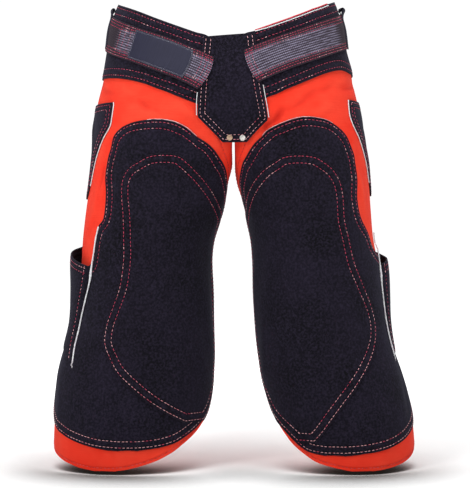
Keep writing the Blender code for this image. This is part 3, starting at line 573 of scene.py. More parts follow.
class Piece:
    """One cut piece of cloth: where it lies, its edge, its rows of stitches and how they shape it."""

    def __init__(self, surface, grid, thickness, nudge, roll=0.4, ridge=0.0, fullness=0.0, ribs=0, bare=2.0,
                 folds=None):
        self.surface, self.grid, self.thickness, self.nudge = surface, grid, thickness, nudge
        self.roll, self.ridge, self.fullness, self.ribs, self.bare = roll, ridge, fullness, ribs, bare
        rim = np.concatenate([grid[0, :-1], grid[:-1, -1], grid[-1, :0:-1], grid[:0:-1, 0]])
        self.edge = self.even(np.vstack([rim, rim[:1]]), EDGE_STEP)[:-1]
        self.edge_tree = near_tree(self.at(self.edge))
        self.rows, self.seam_tree, self.folds = {}, None, folds

    def at(self, flat, extra=0.0):
        return self.surface(flat, np.zeros(len(flat)) + extra)

    def even(self, line, step):
        """A line on the surface, with its points set at even steps."""
        parts = np.linspace(0, len(line) - 1, 6 * (len(line) - 1) + 1)
        fine = np.stack([np.interp(parts, np.arange(len(line)), line[:, k]) for k in (0, 1)], axis=1)
        run = np.linalg.norm(np.diff(self.at(fine), axis=0), axis=1)
        gone = np.concatenate([[0.0], np.cumsum(run)])
        stops = np.linspace(0, gone[-1], max(int(gone[-1] / step), 2) + 1)
        return np.stack([np.interp(stops, gone, fine[:, k]) for k in (0, 1)], axis=1)

    def stitch(self, name, lines):
        """Adds a row of stitches along lines on the piece."""
        self.rows[name] = [self.even(line, 0.5) for line in lines]
        every = [line for lines in self.rows.values() for line in lines]
        self.seam_tree = near_tree(self.at(np.vstack(every)[::2]))

    def relief(self, plain, flat):
        """How the edge and the seams sink the cloth, and how it swells between and inside them."""
        gap = distances(self.edge_tree, plain)
        seam = distances(self.seam_tree, plain) if self.seam_tree else np.full(len(plain), 99.0)
        rise = -self.roll * np.exp(-(gap / 2.2) ** 2) - 0.28 * np.exp(-(seam / 1.5) ** 2)
        rise += self.ridge * np.exp(-((gap - 8.0) / 2.6) ** 2)
        rise += self.fullness * (1 - np.exp(-(gap / 24) ** 2))
        rise += 0.45 * self.rib(flat)
        return rise, gap, seam

    def rib(self, flat):
        """The lengthwise ribs of a webbing, from 0 in a groove to 1 on a crest."""
        if not self.ribs:
            return np.zeros(len(flat))
        inside = np.clip((np.minimum(flat[:, 0], 1 - flat[:, 0]) - 0.13) / 0.05, 0, 1)
        worn = 1 - 0.75 * np.clip((flat[:, 1] - self.bare) / 0.08, 0, 1)
        return inside * worn * (0.5 - 0.5 * np.cos(2 * math.pi * self.ribs * flat[:, 0]))

    def laid(self, flat, extra=0.0):
        """Points on the finished inner face, with the seams' relief."""
        return self.at(flat, self.relief(self.at(flat), flat)[0] + extra)

    def inset(self, distance, left_out=None):
        """The lines that run a distance inside the edge, or inside the part of it that isn't left out."""
        here = self.edge
        point = self.at(here)
        ahead = unit(np.roll(point, -1, axis=0) - np.roll(point, 1, axis=0))
        du, dv = np.array([self.nudge[0], 0.0]), np.array([0.0, self.nudge[1]])
        first = (self.at(here + du) - self.at(here - du)) / (2 * self.nudge[0])
        second = (self.at(here + dv) - self.at(here - dv)) / (2 * self.nudge[1])
        step = steps_on(first, second, unit(np.cross(np.cross(first, second), ahead)))
        x, y = here[:, 0], here[:, 1]
        turning = np.sign(np.sum(x * np.roll(y, -1) - np.roll(x, -1) * y))
        run = np.roll(here, -1, axis=0) - np.roll(here, 1, axis=0)
        facing = np.sign(step[:, 1] * run[:, 0] - step[:, 0] * run[:, 1]) * turning
        moved = here + step * (facing * distance)[:, None]
        kept, tree = np.ones(len(here), bool), self.edge_tree
        if left_out is not None:
            kept = ~left_out(here)
            tree = near_tree(point[kept])
        kept &= distances(tree, self.at(moved)) > 0.93 * distance
        if kept.all():
            return [np.vstack([moved, moved[:1]])]
        first_lost = int(np.argmin(kept))
        moved, kept = np.roll(moved, -first_lost, axis=0), np.roll(kept, -first_lost)
        line, lines = [], []
        for spot, keep in zip(moved, kept):
            if keep:
                line.append(spot)
            elif len(line) > 4:
                lines.append(line)
                line = []
            else:
                line = []
        if len(line) > 4:
            lines.append(line)
        joined = []
        for line in lines:
            near = self.at(np.array([joined[-1][-1], line[0]])) if joined else None
            if joined and np.linalg.norm(near[1] - near[0]) < 3.0 * distance:
                joined[-1] = joined[-1] + line
            else:
                joined.append(line)
        if len(joined) > 1 and left_out is None:
            joined[0] = joined.pop() + joined[0]
        return [np.array(line) for line in joined]


def near_tree(points):
    tree = KDTree(len(points))
    for i, point in enumerate(points):
        tree.insert(point, i)
    tree.balance()
    return tree


def distances(tree, points):
    return np.array([tree.find(point)[2] for point in points])


def lay_cloth(name, side, piece, material):
    """Makes a piece's wall: a grid laid on its surface, thickened outwards, with a soft rim."""
    rows, columns = piece.grid.shape[0] - 1, piece.grid.shape[1] - 1
    flat = piece.grid.reshape(-1, 2)
    plain = piece.at(flat)
    rise, gap, seam = piece.relief(plain, flat)
    points, rib = piece.at(flat, rise) * MM, piece.rib(flat)
    cube = plain.reshape(rows + 1, columns + 1, 3)
    wide = np.cumsum(np.pad(np.linalg.norm(np.diff(cube, axis=1), axis=2), ((0, 0), (1, 0))), axis=1)
    wide -= wide[:, [columns // 2]]
    long = np.cumsum(np.pad(np.linalg.norm(np.diff(cube, axis=0), axis=2).mean(axis=1), (1, 0)))
    cloth = bmesh.new()
    bmesh.ops.create_grid(cloth, x_segments=columns, y_segments=rows, size=0.5)
    edge_mark = cloth.verts.layers.float.new("edge_mm")
    seam_mark = cloth.verts.layers.float.new("seam_mm")
    rib_mark = cloth.verts.layers.float.new("rib")
    # the creases' rise, which the finishes turn into painted shade in the troughs and painted highlight on the
    # crests
    fold_mark = cloth.verts.layers.float.new("fold_mm")
    fold = piece.folds(flat) if piece.folds else np.zeros(len(flat))
    weave = cloth.loops.layers.uv.new("weave")
    for vert in cloth.verts:
        i, j = round((vert.co.x + 0.5) * columns), round((0.5 - vert.co.y) * rows)
        k = j * (columns + 1) + i
        vert.index = k
        vert[edge_mark], vert[seam_mark], vert[rib_mark], vert[fold_mark] = gap[k], seam[k], rib[k], fold[k]
        for loop in vert.link_loops:
            loop[weave].uv = (wide[j, i] * MM, long[j] * MM)
        vert.co = points[k]
    if side == "right":
        bmesh.ops.reverse_faces(cloth, faces=cloth.faces[:])
    mesh = bpy.data.meshes.new(name)
    cloth.to_mesh(mesh)
    cloth.free()
    mesh.shade_smooth()
    mesh.materials.append(material)
    item = bpy.data.objects.new(name, mesh)
    bpy.context.scene.collection.objects.link(item)
    wall = item.modifiers.new("wall", "SOLIDIFY")
    wall.thickness = piece.thickness * MM
    wall.offset = 1.0
    rim = item.modifiers.new("soft_rim", "BEVEL")
    rim.width = min(0.3 * piece.thickness, 0.55) * MM
    rim.segments = 2
    rim.limit_method = "ANGLE"
    rim.angle_limit = math.radians(50)
    return item


# ---------------------------------------------------------------- sewing and trims
def thread_curve(name, runs, radius, material, resolution=1):
    """A set of short thread runs, each with its points and their thickness."""
    curve = bpy.data.curves.new(name, "CURVE")
    curve.dimensions = "3D"
    curve.bevel_depth = radius * MM
    curve.bevel_resolution = resolution
    curve.use_fill_caps = True
    for points, sizes in runs:
        line = curve.splines.new("POLY")
        line.points.add(len(points) - 1)
        line.points.foreach_set("co", np.hstack([points * MM, np.ones((len(points), 1))]).ravel())
        line.points.foreach_set("radius", sizes)
        line.use_smooth = True
    curve.materials.append(material)
    item = bpy.data.objects.new(name, curve)
    bpy.context.scene.collection.objects.link(item)
    return item


def sew(piece, prefix, material, hidden=None, pitch=None):
    """Stitches along a piece's rows, each a short thread that dips into the cloth at both ends."""
    pitch = pitch or look().stitch_pitch / MM
    length = 0.66 * pitch
    thickness = look().thread_diameter / MM * (1.0 if pitch > 4 else 0.6)
    made = []
    for name, lines in piece.rows.items():
        runs = []
        for line in lines:
            step_count = len(line) - 1
            total = np.linalg.norm(np.diff(piece.at(line), axis=0), axis=1).sum()
            count = max(int(round(total / pitch)), 1)
            centres = (np.arange(count) + 0.5 + 0.06 * np.sin(np.arange(count) * 2.399)) / count
            spots = np.stack([centres + k * length / total for k in (-0.5, -0.25, 0.25, 0.5)], axis=1)
            places = np.clip(spots, 0, 1).ravel() * step_count
            flat = np.stack([np.interp(places, np.arange(step_count + 1), line[:, k]) for k in (0, 1)], axis=1)
            seat = piece.thickness + np.tile([-0.35, 0.16, 0.16, -0.35], count)
            points = piece.laid(flat, seat).reshape(count, 4, 3)
            shown = np.ones(count, bool) if hidden is None else ~hidden(flat.reshape(count, 4, 2)[:, 1])
            runs += [(run, (0.75, 1.0, 1.0, 0.75)) for run in points[shown]]
        item = thread_curve(prefix + "_" + name, runs, thickness / 2, material)
        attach(item, "root")
        made.append(item)
    return made


def under(side, rows):
    """Tells which places on a leg lie under a piece given by rows."""
    z, inner, outer = spline(rows, np.linspace(0, 1, 120)).T
    order = np.argsort(z)

    def covered(flat):
        low, high = (np.interp(flat[:, 1], z[order], edge[order]) for edge in (inner, outer))
        return (flat[:, 1] < z.max()) & (flat[:, 1] > z.min()) & (flat[:, 0] > low) & (flat[:, 0] < high)
    return covered


# ---------------------------------------------------------------- finishes
class Nodes:
    """A short way to place and join shader nodes in a material or a group."""

    def __init__(self, tree):
        self.tree = tree

    def add(self, kind, settings=None, **inputs):
        node = self.tree.nodes.new(kind)
        for name, value in (settings or {}).items():
            setattr(node, name, value)
        for name, value in inputs.items():
            self.feed(node.inputs[name.replace("_", " ")], value)
        return node

    def feed(self, socket, value):
        if isinstance(value, bpy.types.NodeSocket):
            self.tree.links.new(value, socket)
        else:
            socket.default_value = value

    def math(self, operation, first, second=0.0, clamp=False):
        node = self.tree.nodes.new("ShaderNodeMath")
        node.operation = operation
        node.use_clamp = clamp
        self.feed(node.inputs[0], first)
        self.feed(node.inputs[1], second)
        return node.outputs[0]

    def mix(self, share, first, second):
        node = self.tree.nodes.new("ShaderNodeMix")
        node.data_type = "RGBA"
        self.feed(node.inputs[0], share)
        self.feed(node.inputs[6], first)
        self.feed(node.inputs[7], second)
        return node.outputs[2]

    def span(self, value, low, high):
        """Runs from 0 to 1 as a value goes from low to high."""
        node = self.tree.nodes.new("ShaderNodeMapRange")
        self.feed(node.inputs["Value"], value)
        node.inputs["From Min"].default_value = low
        node.inputs["From Max"].default_value = high
        return node.outputs["Result"]


def new_group(name, inputs, outputs):
    group = bpy.data.node_groups.new(name, "ShaderNodeTree")
    for label, kind, value in inputs:
        socket = group.interface.new_socket(label, in_out="INPUT", socket_type=kind)
        if value is not None:
            socket.default_value = value
    for label, kind in outputs:
        group.interface.new_socket(label, in_out="OUTPUT", socket_type=kind)
    nodes = Nodes(group)
    return group, nodes, nodes.add("NodeGroupInput"), nodes.add("NodeGroupOutput")


def nap_group():
    """Brushed fibres: a fine height and two soft masks of worn and shaded places."""
    group, nodes, given, made = new_group(
        "brushed_nap",
        [("Place", "NodeSocketVector", None), ("Fibre Scale", "NodeSocketFloat", 900.0)],
        [("Height", "NodeSocketFloat"), ("Worn", "NodeSocketFloat"), ("Fleck", "NodeSocketFloat")])
    fine = nodes.add("ShaderNodeTexNoise", Vector=given.outputs["Place"], Scale=given.outputs["Fibre Scale"],
                     Detail=4.0, Roughness=0.65)
    clump = nodes.add("ShaderNodeTexNoise", Vector=given.outputs["Place"], Scale=320.0, Detail=3.0,
                      Roughness=0.6)
    broad = nodes.add("ShaderNodeTexNoise", Vector=given.outputs["Place"], Scale=13.0, Detail=5.0,
                      Roughness=0.62, Distortion=0.4)
    height = nodes.math("ADD", nodes.math("MULTIPLY", fine.outputs["Fac"], 0.6),
                        nodes.math("MULTIPLY", clump.outputs["Fac"], 0.5))
    nodes.feed(made.inputs["Height"], height)
    nodes.feed(made.inputs["Worn"], nodes.span(broad.outputs["Fac"], 0.34, 0.64))
    nodes.feed(made.inputs["Fleck"], nodes.span(clump.outputs["Fac"], 0.42, 0.68))
    return group


def seam_group():
    """What sewing and creases do to a cloth: a furrow along the stitches with a mask for painted shade in it, a
    paler, worn cut edge, and masks for painted shade in crease troughs and painted highlight on crease crests.
    """
    group, nodes, given, made = new_group(
        "seam_relief", [("Edge", "NodeSocketFloat", 20.0), ("Seam", "NodeSocketFloat", 20.0),
                        ("Fold", "NodeSocketFloat", 0.0)],
        [("Height", "NodeSocketFloat"), ("Seam Shade", "NodeSocketFloat"), ("Cut Edge", "NodeSocketFloat"),
         ("Crease Shade", "NodeSocketFloat"), ("Crease Highlight", "NodeSocketFloat")])
    furrow = nodes.math("SUBTRACT", 1.0, nodes.span(given.outputs["Seam"], 0.3, 2.4))
    nodes.feed(made.inputs["Seam Shade"], furrow)
    nodes.feed(made.inputs["Height"], nodes.math("SUBTRACT", 1.0, furrow))
    nodes.feed(made.inputs["Cut Edge"], nodes.math("SUBTRACT", 1.0, nodes.span(given.outputs["Edge"], 0.1, 1.2)))
    # painted shade where the creases sink, painted highlight where they rise
    nodes.feed(made.inputs["Crease Shade"], nodes.span(given.outputs["Fold"], -0.5, -3.0))
    nodes.feed(made.inputs["Crease Highlight"], nodes.span(given.outputs["Fold"], 0.3, 2.4))
    return group


def weave_group():
    """A plain weave: warp and weft that pass over each other, with uneven yarns."""
    group, nodes, given, made = new_group(
        "plain_weave",
        [("Place", "NodeSocketVector", None), ("Yarns", "NodeSocketFloat", 900.0)],
        [("Height", "NodeSocketFloat"), ("Yarn", "NodeSocketFloat"), ("Slub", "NodeSocketFloat")])
    split = nodes.add("ShaderNodeSeparateXYZ", Vector=given.outputs["Place"])
    turn = nodes.math("MULTIPLY", given.outputs["Yarns"], math.pi)
    warp = nodes.math("SINE", nodes.math("MULTIPLY", split.outputs["X"], turn))
    weft = nodes.math("SINE", nodes.math("MULTIPLY", split.outputs["Y"], turn))
    over = nodes.math("MULTIPLY", warp, weft)
    yarn = nodes.add("ShaderNodeTexNoise", Vector=given.outputs["Place"], Scale=420.0, Detail=2.0)
    long = nodes.add("ShaderNodeMapping", Vector=given.outputs["Place"], Scale=(30.0, 700.0, 1.0))
    slub = nodes.add("ShaderNodeTexNoise", Vector=long.outputs["Vector"], Scale=1.0, Detail=3.0)
    nodes.feed(made.inputs["Height"], nodes.math("ADD", nodes.math("MULTIPLY", over, 0.5),
                                                 yarn.outputs["Fac"]))
    nodes.feed(made.inputs["Yarn"], nodes.span(over, -1.0, 1.0))
    nodes.feed(made.inputs["Slub"], nodes.span(slub.outputs["Fac"], 0.35, 0.65))
    return group


def new_finish(name, roughness, sheen=0.0, sheen_roughness=0.5, sheen_tint=(1, 1, 1, 1), metallic=0.0):
    material = bpy.data.materials.new(name)
    material.use_nodes = True
    nodes = Nodes(material.node_tree)
    shader = material.node_tree.nodes["Principled BSDF"]
    shader.inputs["Roughness"].default_value = roughness
    shader.inputs["Metallic"].default_value = metallic
    shader.inputs["Sheen Weight"].default_value = sheen
    shader.inputs["Sheen Roughness"].default_value = sheen_roughness
    shader.inputs["Sheen Tint"].default_value = sheen_tint
    return material, nodes, shader


def placed(nodes, group, **inputs):
    node = nodes.add("ShaderNodeGroup", {"node_tree": group})
    for name, value in inputs.items():
        nodes.feed(node.inputs[name.replace("_", " ")], value)
    return node


def bumped(nodes, shader, height, strength, distance):
    bump = nodes.add("ShaderNodeBump", Height=height, Strength=strength, Distance=distance)
    nodes.feed(shader.inputs["Normal"], bump.outputs["Normal"])


def seam_marks(nodes, groups):
    edge = nodes.add("ShaderNodeAttribute", {"attribute_name": "edge_mm"}).outputs["Fac"]
    seam = nodes.add("ShaderNodeAttribute", {"attribute_name": "seam_mm"}).outputs["Fac"]
    fold = nodes.add("ShaderNodeAttribute", {"attribute_name": "fold_mm"}).outputs["Fac"]
    return placed(nodes, groups["seam"], Edge=edge, Seam=seam, Fold=fold)


def suede_finish(name, color, groups):
    """Split suede with a short nap: mottled where it is brushed and worn, furrowed along its stitches, with
    painted shade in the furrows and crease troughs and a painted highlight on crease crests.
    """
    material, nodes, shader = new_finish(name, 0.95, 0.05, 0.5, (0.60, 0.60, 0.90, 1))
    shader.inputs["Specular IOR Level"].default_value = 0.12
    place = nodes.add("ShaderNodeTexCoord").outputs["Object"]
    nap = placed(nodes, groups["nap"], Place=place, Fibre_Scale=900.0)
    seam = seam_marks(nodes, groups)
    plain = tuple(color) + (1.0,)
    deep = tuple(0.22 * c for c in color) + (1.0,)
    pale = tuple(2.8 * c + 0.003 for c in color) + (1.0,)
    tone = nodes.mix(nap.outputs["Worn"], deep, plain)
    tone = nodes.mix(nodes.math("MULTIPLY", nap.outputs["Fleck"], 0.70), tone, pale)
    # painted shade in the stitch furrows and crease troughs, painted highlight on the crease crests
    tone = nodes.mix(nodes.math("MULTIPLY", seam.outputs["Seam Shade"], 0.6), tone, deep)
    tone = nodes.mix(nodes.math("MULTIPLY", seam.outputs["Crease Highlight"], 0.25), tone, pale)
    tone = nodes.mix(nodes.math("MULTIPLY", seam.outputs["Crease Shade"], 0.6), tone, deep)
    tone = nodes.mix(nodes.math("MULTIPLY", seam.outputs["Cut Edge"], 0.5), tone, (0.022, 0.018, 0.024, 1.0))
    nodes.feed(shader.inputs["Base Color"], tone)
    height = nodes.math("ADD", nodes.math("MULTIPLY", nap.outputs["Height"], 0.35), seam.outputs["Height"])
    bumped(nodes, shader, height, 0.8, 0.0009)
    return material


def canvas_finish(name, color, groups):
    """Bright cotton canvas in a plain weave, with painted shade along its seams and in its crease troughs and a
    painted highlight on its crease crests.
    """
    material, nodes, shader = new_finish(name, 0.85, 0.05, 0.5, (1.0, 0.55, 0.45, 1))
    shader.inputs["Specular IOR Level"].default_value = 0.12
    uv = nodes.add("ShaderNodeUVMap", {"uv_map": "weave"}).outputs["UV"]
    place = nodes.add("ShaderNodeTexCoord").outputs["Object"]
    weave = placed(nodes, groups["weave"], Place=uv, Yarns=1150.0)
    seam = seam_marks(nodes, groups)
    broad = nodes.add("ShaderNodeTexNoise", Vector=place, Scale=9.0, Detail=4.0, Roughness=0.6)
    deep = (color[0] * 0.80, color[1] * 0.55, color[2] * 0.55, 1.0)
    pale = (min(color[0] * 1.05, 1.0), color[1] * 1.8 + 0.012, color[2] * 1.9 + 0.009, 1.0)
    shaded = (color[0] * 0.55, color[1] * 0.25, color[2] * 0.30, 1.0)
    tone = nodes.mix(nodes.span(broad.outputs["Fac"], 0.36, 0.66), tuple(color) + (1.0,), pale)
    tone = nodes.mix(nodes.math("MULTIPLY", nodes.math("SUBTRACT", 1.0, weave.outputs["Yarn"]), 0.25), tone, deep)
    tone = nodes.mix(nodes.math("MULTIPLY", weave.outputs["Slub"], 0.20), tone, deep)
    # painted shade in the stitch furrows and crease troughs, painted highlight on the crease crests
    tone = nodes.mix(nodes.math("MULTIPLY", seam.outputs["Seam Shade"], 0.45), tone, deep)
    tone = nodes.mix(nodes.math("MULTIPLY", seam.outputs["Crease Highlight"], 0.55), tone, pale)
    tone = nodes.mix(nodes.math("MULTIPLY", seam.outputs["Crease Shade"], 0.70), tone, shaded)
    nodes.feed(shader.inputs["Base Color"], tone)
    height = nodes.math("ADD", nodes.math("MULTIPLY", weave.outputs["Height"], 0.22), seam.outputs["Height"])
    bumped(nodes, shader, height, 0.6, 0.0008)
    return material


def webbing_finish(name, color, rib_highlight_color, groups):
    """Ribbed webbing: dark ground with looped ribs along its length, and a pale painted highlight on the rib
    crests, broken by the weft.
    """
    material, nodes, shader = new_finish(name, 0.80, 0.05, 0.5, (0.8, 0.75, 0.85, 1))
    shader.inputs["Specular IOR Level"].default_value = 0.2
    uv = nodes.add("ShaderNodeUVMap", {"uv_map": "weave"}).outputs["UV"]
    rib = nodes.add("ShaderNodeAttribute", {"attribute_name": "rib"}).outputs["Fac"]
    weave = placed(nodes, groups["weave"], Place=uv, Yarns=800.0)
    split = nodes.add("ShaderNodeSeparateXYZ", Vector=uv)
    weft = nodes.math("SINE", nodes.math("MULTIPLY", split.outputs["Y"], 2 * math.pi / 0.0030))
    long = nodes.add("ShaderNodeMapping", Vector=uv, Scale=(420.0, 60.0, 1.0))
    broken = nodes.add("ShaderNodeTexNoise", Vector=long.outputs["Vector"], Scale=1.0, Detail=2.0)
    loops = nodes.math("ADD", 0.45, nodes.math("MULTIPLY", nodes.span(weft, -0.8, 0.4), 0.55))
    # painted highlight: the pale rib colour goes on the rib crests, in loops along the weft and broken at random;
    # the same mask also raises the bump
    crest_highlight = nodes.math("MULTIPLY", nodes.span(rib, 0.58, 0.95), loops)
    crest_highlight = nodes.math("MULTIPLY", crest_highlight, nodes.span(broken.outputs["Fac"], 0.22, 0.55), clamp=True)
    ground = tuple(0.55 * c for c in color) + (1.0,)
    tone = nodes.mix(nodes.math("MULTIPLY", weave.outputs["Yarn"], 0.6), ground,
                     tuple(1.10 * c for c in color) + (1.0,))
    tone = nodes.mix(nodes.math("MULTIPLY", crest_highlight, 0.9), tone, tuple(rib_highlight_color) + (1.0,))
    nodes.feed(shader.inputs["Base Color"], tone)
    height = nodes.math("ADD", nodes.math("MULTIPLY", weave.outputs["Height"], 0.5), crest_highlight)
    bumped(nodes, shader, height, 0.7, 0.0006)
    return material


def label_finish(name, color, groups):
    """Smooth coated label cloth in a fine weave."""
    material, nodes, shader = new_finish(name, 0.60, 0.03, 0.5)
    shader.inputs["Specular IOR Level"].default_value = 0.25
    uv = nodes.add("ShaderNodeUVMap", {"uv_map": "weave"}).outputs["UV"]
    weave = placed(nodes, groups["weave"], Place=uv, Yarns=1700.0)
    seam = seam_marks(nodes, groups)
    tone = nodes.mix(nodes.math("MULTIPLY", weave.outputs["Slub"], 0.5), tuple(color) + (1.0,),
                     tuple(1.5 * c + 0.004 for c in color) + (1.0,))
    tone = nodes.mix(nodes.math("MULTIPLY", seam.outputs["Cut Edge"], 0.7), tone, (0.10, 0.10, 0.13, 1.0))
    nodes.feed(shader.inputs["Base Color"], tone)
    height = nodes.math("ADD", nodes.math("MULTIPLY", weave.outputs["Height"], 0.3), seam.outputs["Height"])
    bumped(nodes, shader, height, 0.5, 0.0004)
    return material


def thread_finish(name, color, pale_color, pale_share):
    """Twisted polyester thread, bleached on some of its stitches."""
    material, nodes, shader = new_finish(name, 0.55, 0.15, 0.4, tuple(color) + (1.0,))
    place = nodes.add("ShaderNodeTexCoord").outputs["Object"]
    ply = nodes.add("ShaderNodeTexNoise", Vector=place, Scale=1500.0, Detail=2.0)
    worn = nodes.add("ShaderNodeTexNoise", Vector=place, Scale=95.0, Detail=2.0)
    height = nodes.add("ShaderNodeSeparateXYZ", Vector=place).outputs["Z"]
    low = nodes.math("MULTIPLY", nodes.span(height, -0.30, -0.58), 0.16)
    bleached = nodes.span(nodes.math("ADD", worn.outputs["Fac"], low),
                          0.68 - 0.4 * pale_share, 0.78 - 0.4 * pale_share)
    tone = nodes.mix(nodes.span(ply.outputs["Fac"], 0.35, 0.65), tuple(0.6 * c for c in color) + (1.0,),
                     tuple(color) + (1.0,))
    tone = nodes.mix(nodes.math("MULTIPLY", bleached, 0.8), tone, tuple(pale_color) + (1.0,))
    nodes.feed(shader.inputs["Base Color"], tone)
    bumped(nodes, shader, ply.outputs["Fac"], 0.4, 0.0002)
    return material


def rivet_finish(name, color):
    """Polished dome with fine scratches and a dull rim."""
    material, nodes, shader = new_finish(name, 0.28, metallic=1.0)
    place = nodes.add("ShaderNodeTexCoord").outputs["Object"]
    scratch = nodes.add("ShaderNodeTexNoise", Vector=place, Scale=1800.0, Detail=3.0)
    tarnish = nodes.add("ShaderNodeTexNoise", Vector=place, Scale=300.0, Detail=3.0)
    tone = nodes.mix(nodes.span(tarnish.outputs["Fac"], 0.4, 0.7), tuple(color) + (1.0,),
                     tuple(0.45 * c for c in color) + (1.0,))
    nodes.feed(shader.inputs["Base Color"], tone)
    nodes.feed(shader.inputs["Roughness"],
               nodes.math("ADD", 0.18, nodes.math("MULTIPLY", tarnish.outputs["Fac"], 0.3)))
    bumped(nodes, shader, scratch.outputs["Fac"], 0.2, 0.0001)
    return material


# ---------------------------------------------------------------- settings
class ChapsLook(bpy.types.PropertyGroup):
    """Colours and sizes of the finish."""

    canvas_color: bpy.props.FloatVectorProperty(
        name="Canvas", description="Red of the leg canvas", subtype="COLOR", size=3, min=0, max=1,
        default=(0.78, 0.030, 0.012))
    suede_color: bpy.props.FloatVectorProperty(
        name="Suede", description="Black of the patches, pockets and bands", subtype="COLOR", size=3, min=0, max=1,
        default=(0.0060, 0.0045, 0.0098))
    webbing_color: bpy.props.FloatVectorProperty(
        name="Webbing", description="Ground of the ribbed webbing", subtype="COLOR", size=3, min=0, max=1,
        default=(0.024, 0.013, 0.023))
    # the pale colour painted on the webbing's rib crests as their highlight
    rib_highlight_color: bpy.props.FloatVectorProperty(
        name="Webbing ribs", description="Pale loops on the webbing's ribs", subtype="COLOR", size=3, min=0, max=1,
        default=(0.225, 0.205, 0.290))
    label_color: bpy.props.FloatVectorProperty(
        name="Label", description="Cloth of the bare label", subtype="COLOR", size=3, min=0, max=1,
        default=(0.0095, 0.0095, 0.026))
    thread_color: bpy.props.FloatVectorProperty(
        name="Thread", description="Red sewing thread", subtype="COLOR", size=3, min=0, max=1,
        default=(0.50, 0.026, 0.085))
    pale_thread_color: bpy.props.FloatVectorProperty(
        name="Worn thread", description="Where the thread has bleached", subtype="COLOR", size=3, min=0, max=1,
        default=(0.74, 0.42, 0.44))
    piping_color: bpy.props.FloatVectorProperty(
        name="Piping", description="White trims", subtype="COLOR", size=3, min=0, max=1,
        default=(0.80, 0.80, 0.82))
    thread_diameter: bpy.props.FloatProperty(
        name="Thread", description="Thickness of the sewing thread", default=0.00078, min=0.0003, max=0.002,
        unit="LENGTH")
    stitch_pitch: bpy.props.FloatProperty(
        name="Stitch", description="Length from one stitch to the next", default=0.0057, min=0.002, max=0.01,
        unit="LENGTH")


def look():
    return bpy.context.scene.chaps_look


def finish_of(name):
    return bpy.data.materials[name]


# the cut of each cloth: its width and length in metres, and its flat area in square metres
CUTS = {
    "leg_panel_right": (0.455, 0.60, 0.195), "leg_panel_left": (0.45, 0.615, 0.191),
    "thigh_patch_right": (0.38, 0.485, 0.130), "thigh_patch_left": (0.36, 0.50, 0.131),
    "knee_patch_right": (0.215, 0.395, 0.065), "knee_patch_left": (0.24, 0.42, 0.074),
    "hip_pocket_right": (0.145, 0.14, 0.0128), "hip_pocket_left": (0.135, 0.14, 0.0116),
    "side_pocket_right": (0.137, 0.136, 0.0153), "side_pocket_left": (0.105, 0.126, 0.0121),
    "hip_band_right": (0.116, 0.338, 0.0258), "hip_band_left": (0.116, 0.333, 0.0244),
    "front_yoke": (0.10, 0.155, 0.0126),
    "belt_tab_right": (0.051, 0.31, 0.0158), "belt_tab_left": (0.051, 0.30, 0.0152),
    "belt_back": (0.051, 0.40, 0.0203), "label_patch": (0.042, 0.10, 0.0042),
    "leg_strap_right": (0.038, 0.265, 0.0100), "leg_strap_left": (0.038, 0.255, 0.0096),
}


def declare(item, with_pieces=()):
    """Hangs a finished cloth under the root, hides the part it replaces and looks up its cut."""
    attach(item, "root")
    node = item.name.removesuffix("_cloth")
    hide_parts(node)
    width, length, area = CUTS[node]


# ---------------------------------------------------------------- pieces
def leg_pieces(side):
    """The four pieces laid on a leg in rows, with their rows of stitches."""
    panel = Piece(leg_surface(side, 0.0), row_grid(side, LEG_PANEL[side], 110, 150, True), CANVAS, (0.3, 1.0),
                  roll=0.35, folds=creases_on(side))
    panel.stitch("hem", panel.inset(4.2))
    crotch = [line[(line[:, 1] > -240) & (line[:, 0] < -45)] for line in panel.inset(8.6)]
    panel.stitch("crotch", [line for line in crotch if len(line) > 8])
    thigh = Piece(leg_surface(side, ON_CANVAS), row_grid(side, THIGH_PATCH[side], 96, 130), SUEDE, (0.3, 1.0),
                  ridge=0.18, folds=creases_on(side))
    thigh.stitch("outer", thigh.inset(3.6))
    thigh.stitch("inner", thigh.inset(12.5))
    knee = Piece(leg_surface(side, ON_SUEDE), row_grid(side, KNEE_PATCH[side], 60, 108), SUEDE, (0.3, 1.0),
                 ridge=0.25, fullness=0.8, folds=creases_on(side))
    knee.stitch("outer", knee.inset(3.0))
    knee.stitch("inner", knee.inset(13.0))
    pocket = Piece(leg_surface(side, ON_CANVAS), row_grid(side, HIP_POCKET[side], 34, 38), SUEDE, (0.3, 1.0),
                   ridge=0.15, fullness=0.5)
    pocket.stitch("outer", pocket.inset(3.6))
    pocket.stitch("inner", pocket.inset(10.5))
    return panel, thigh, knee, pocket


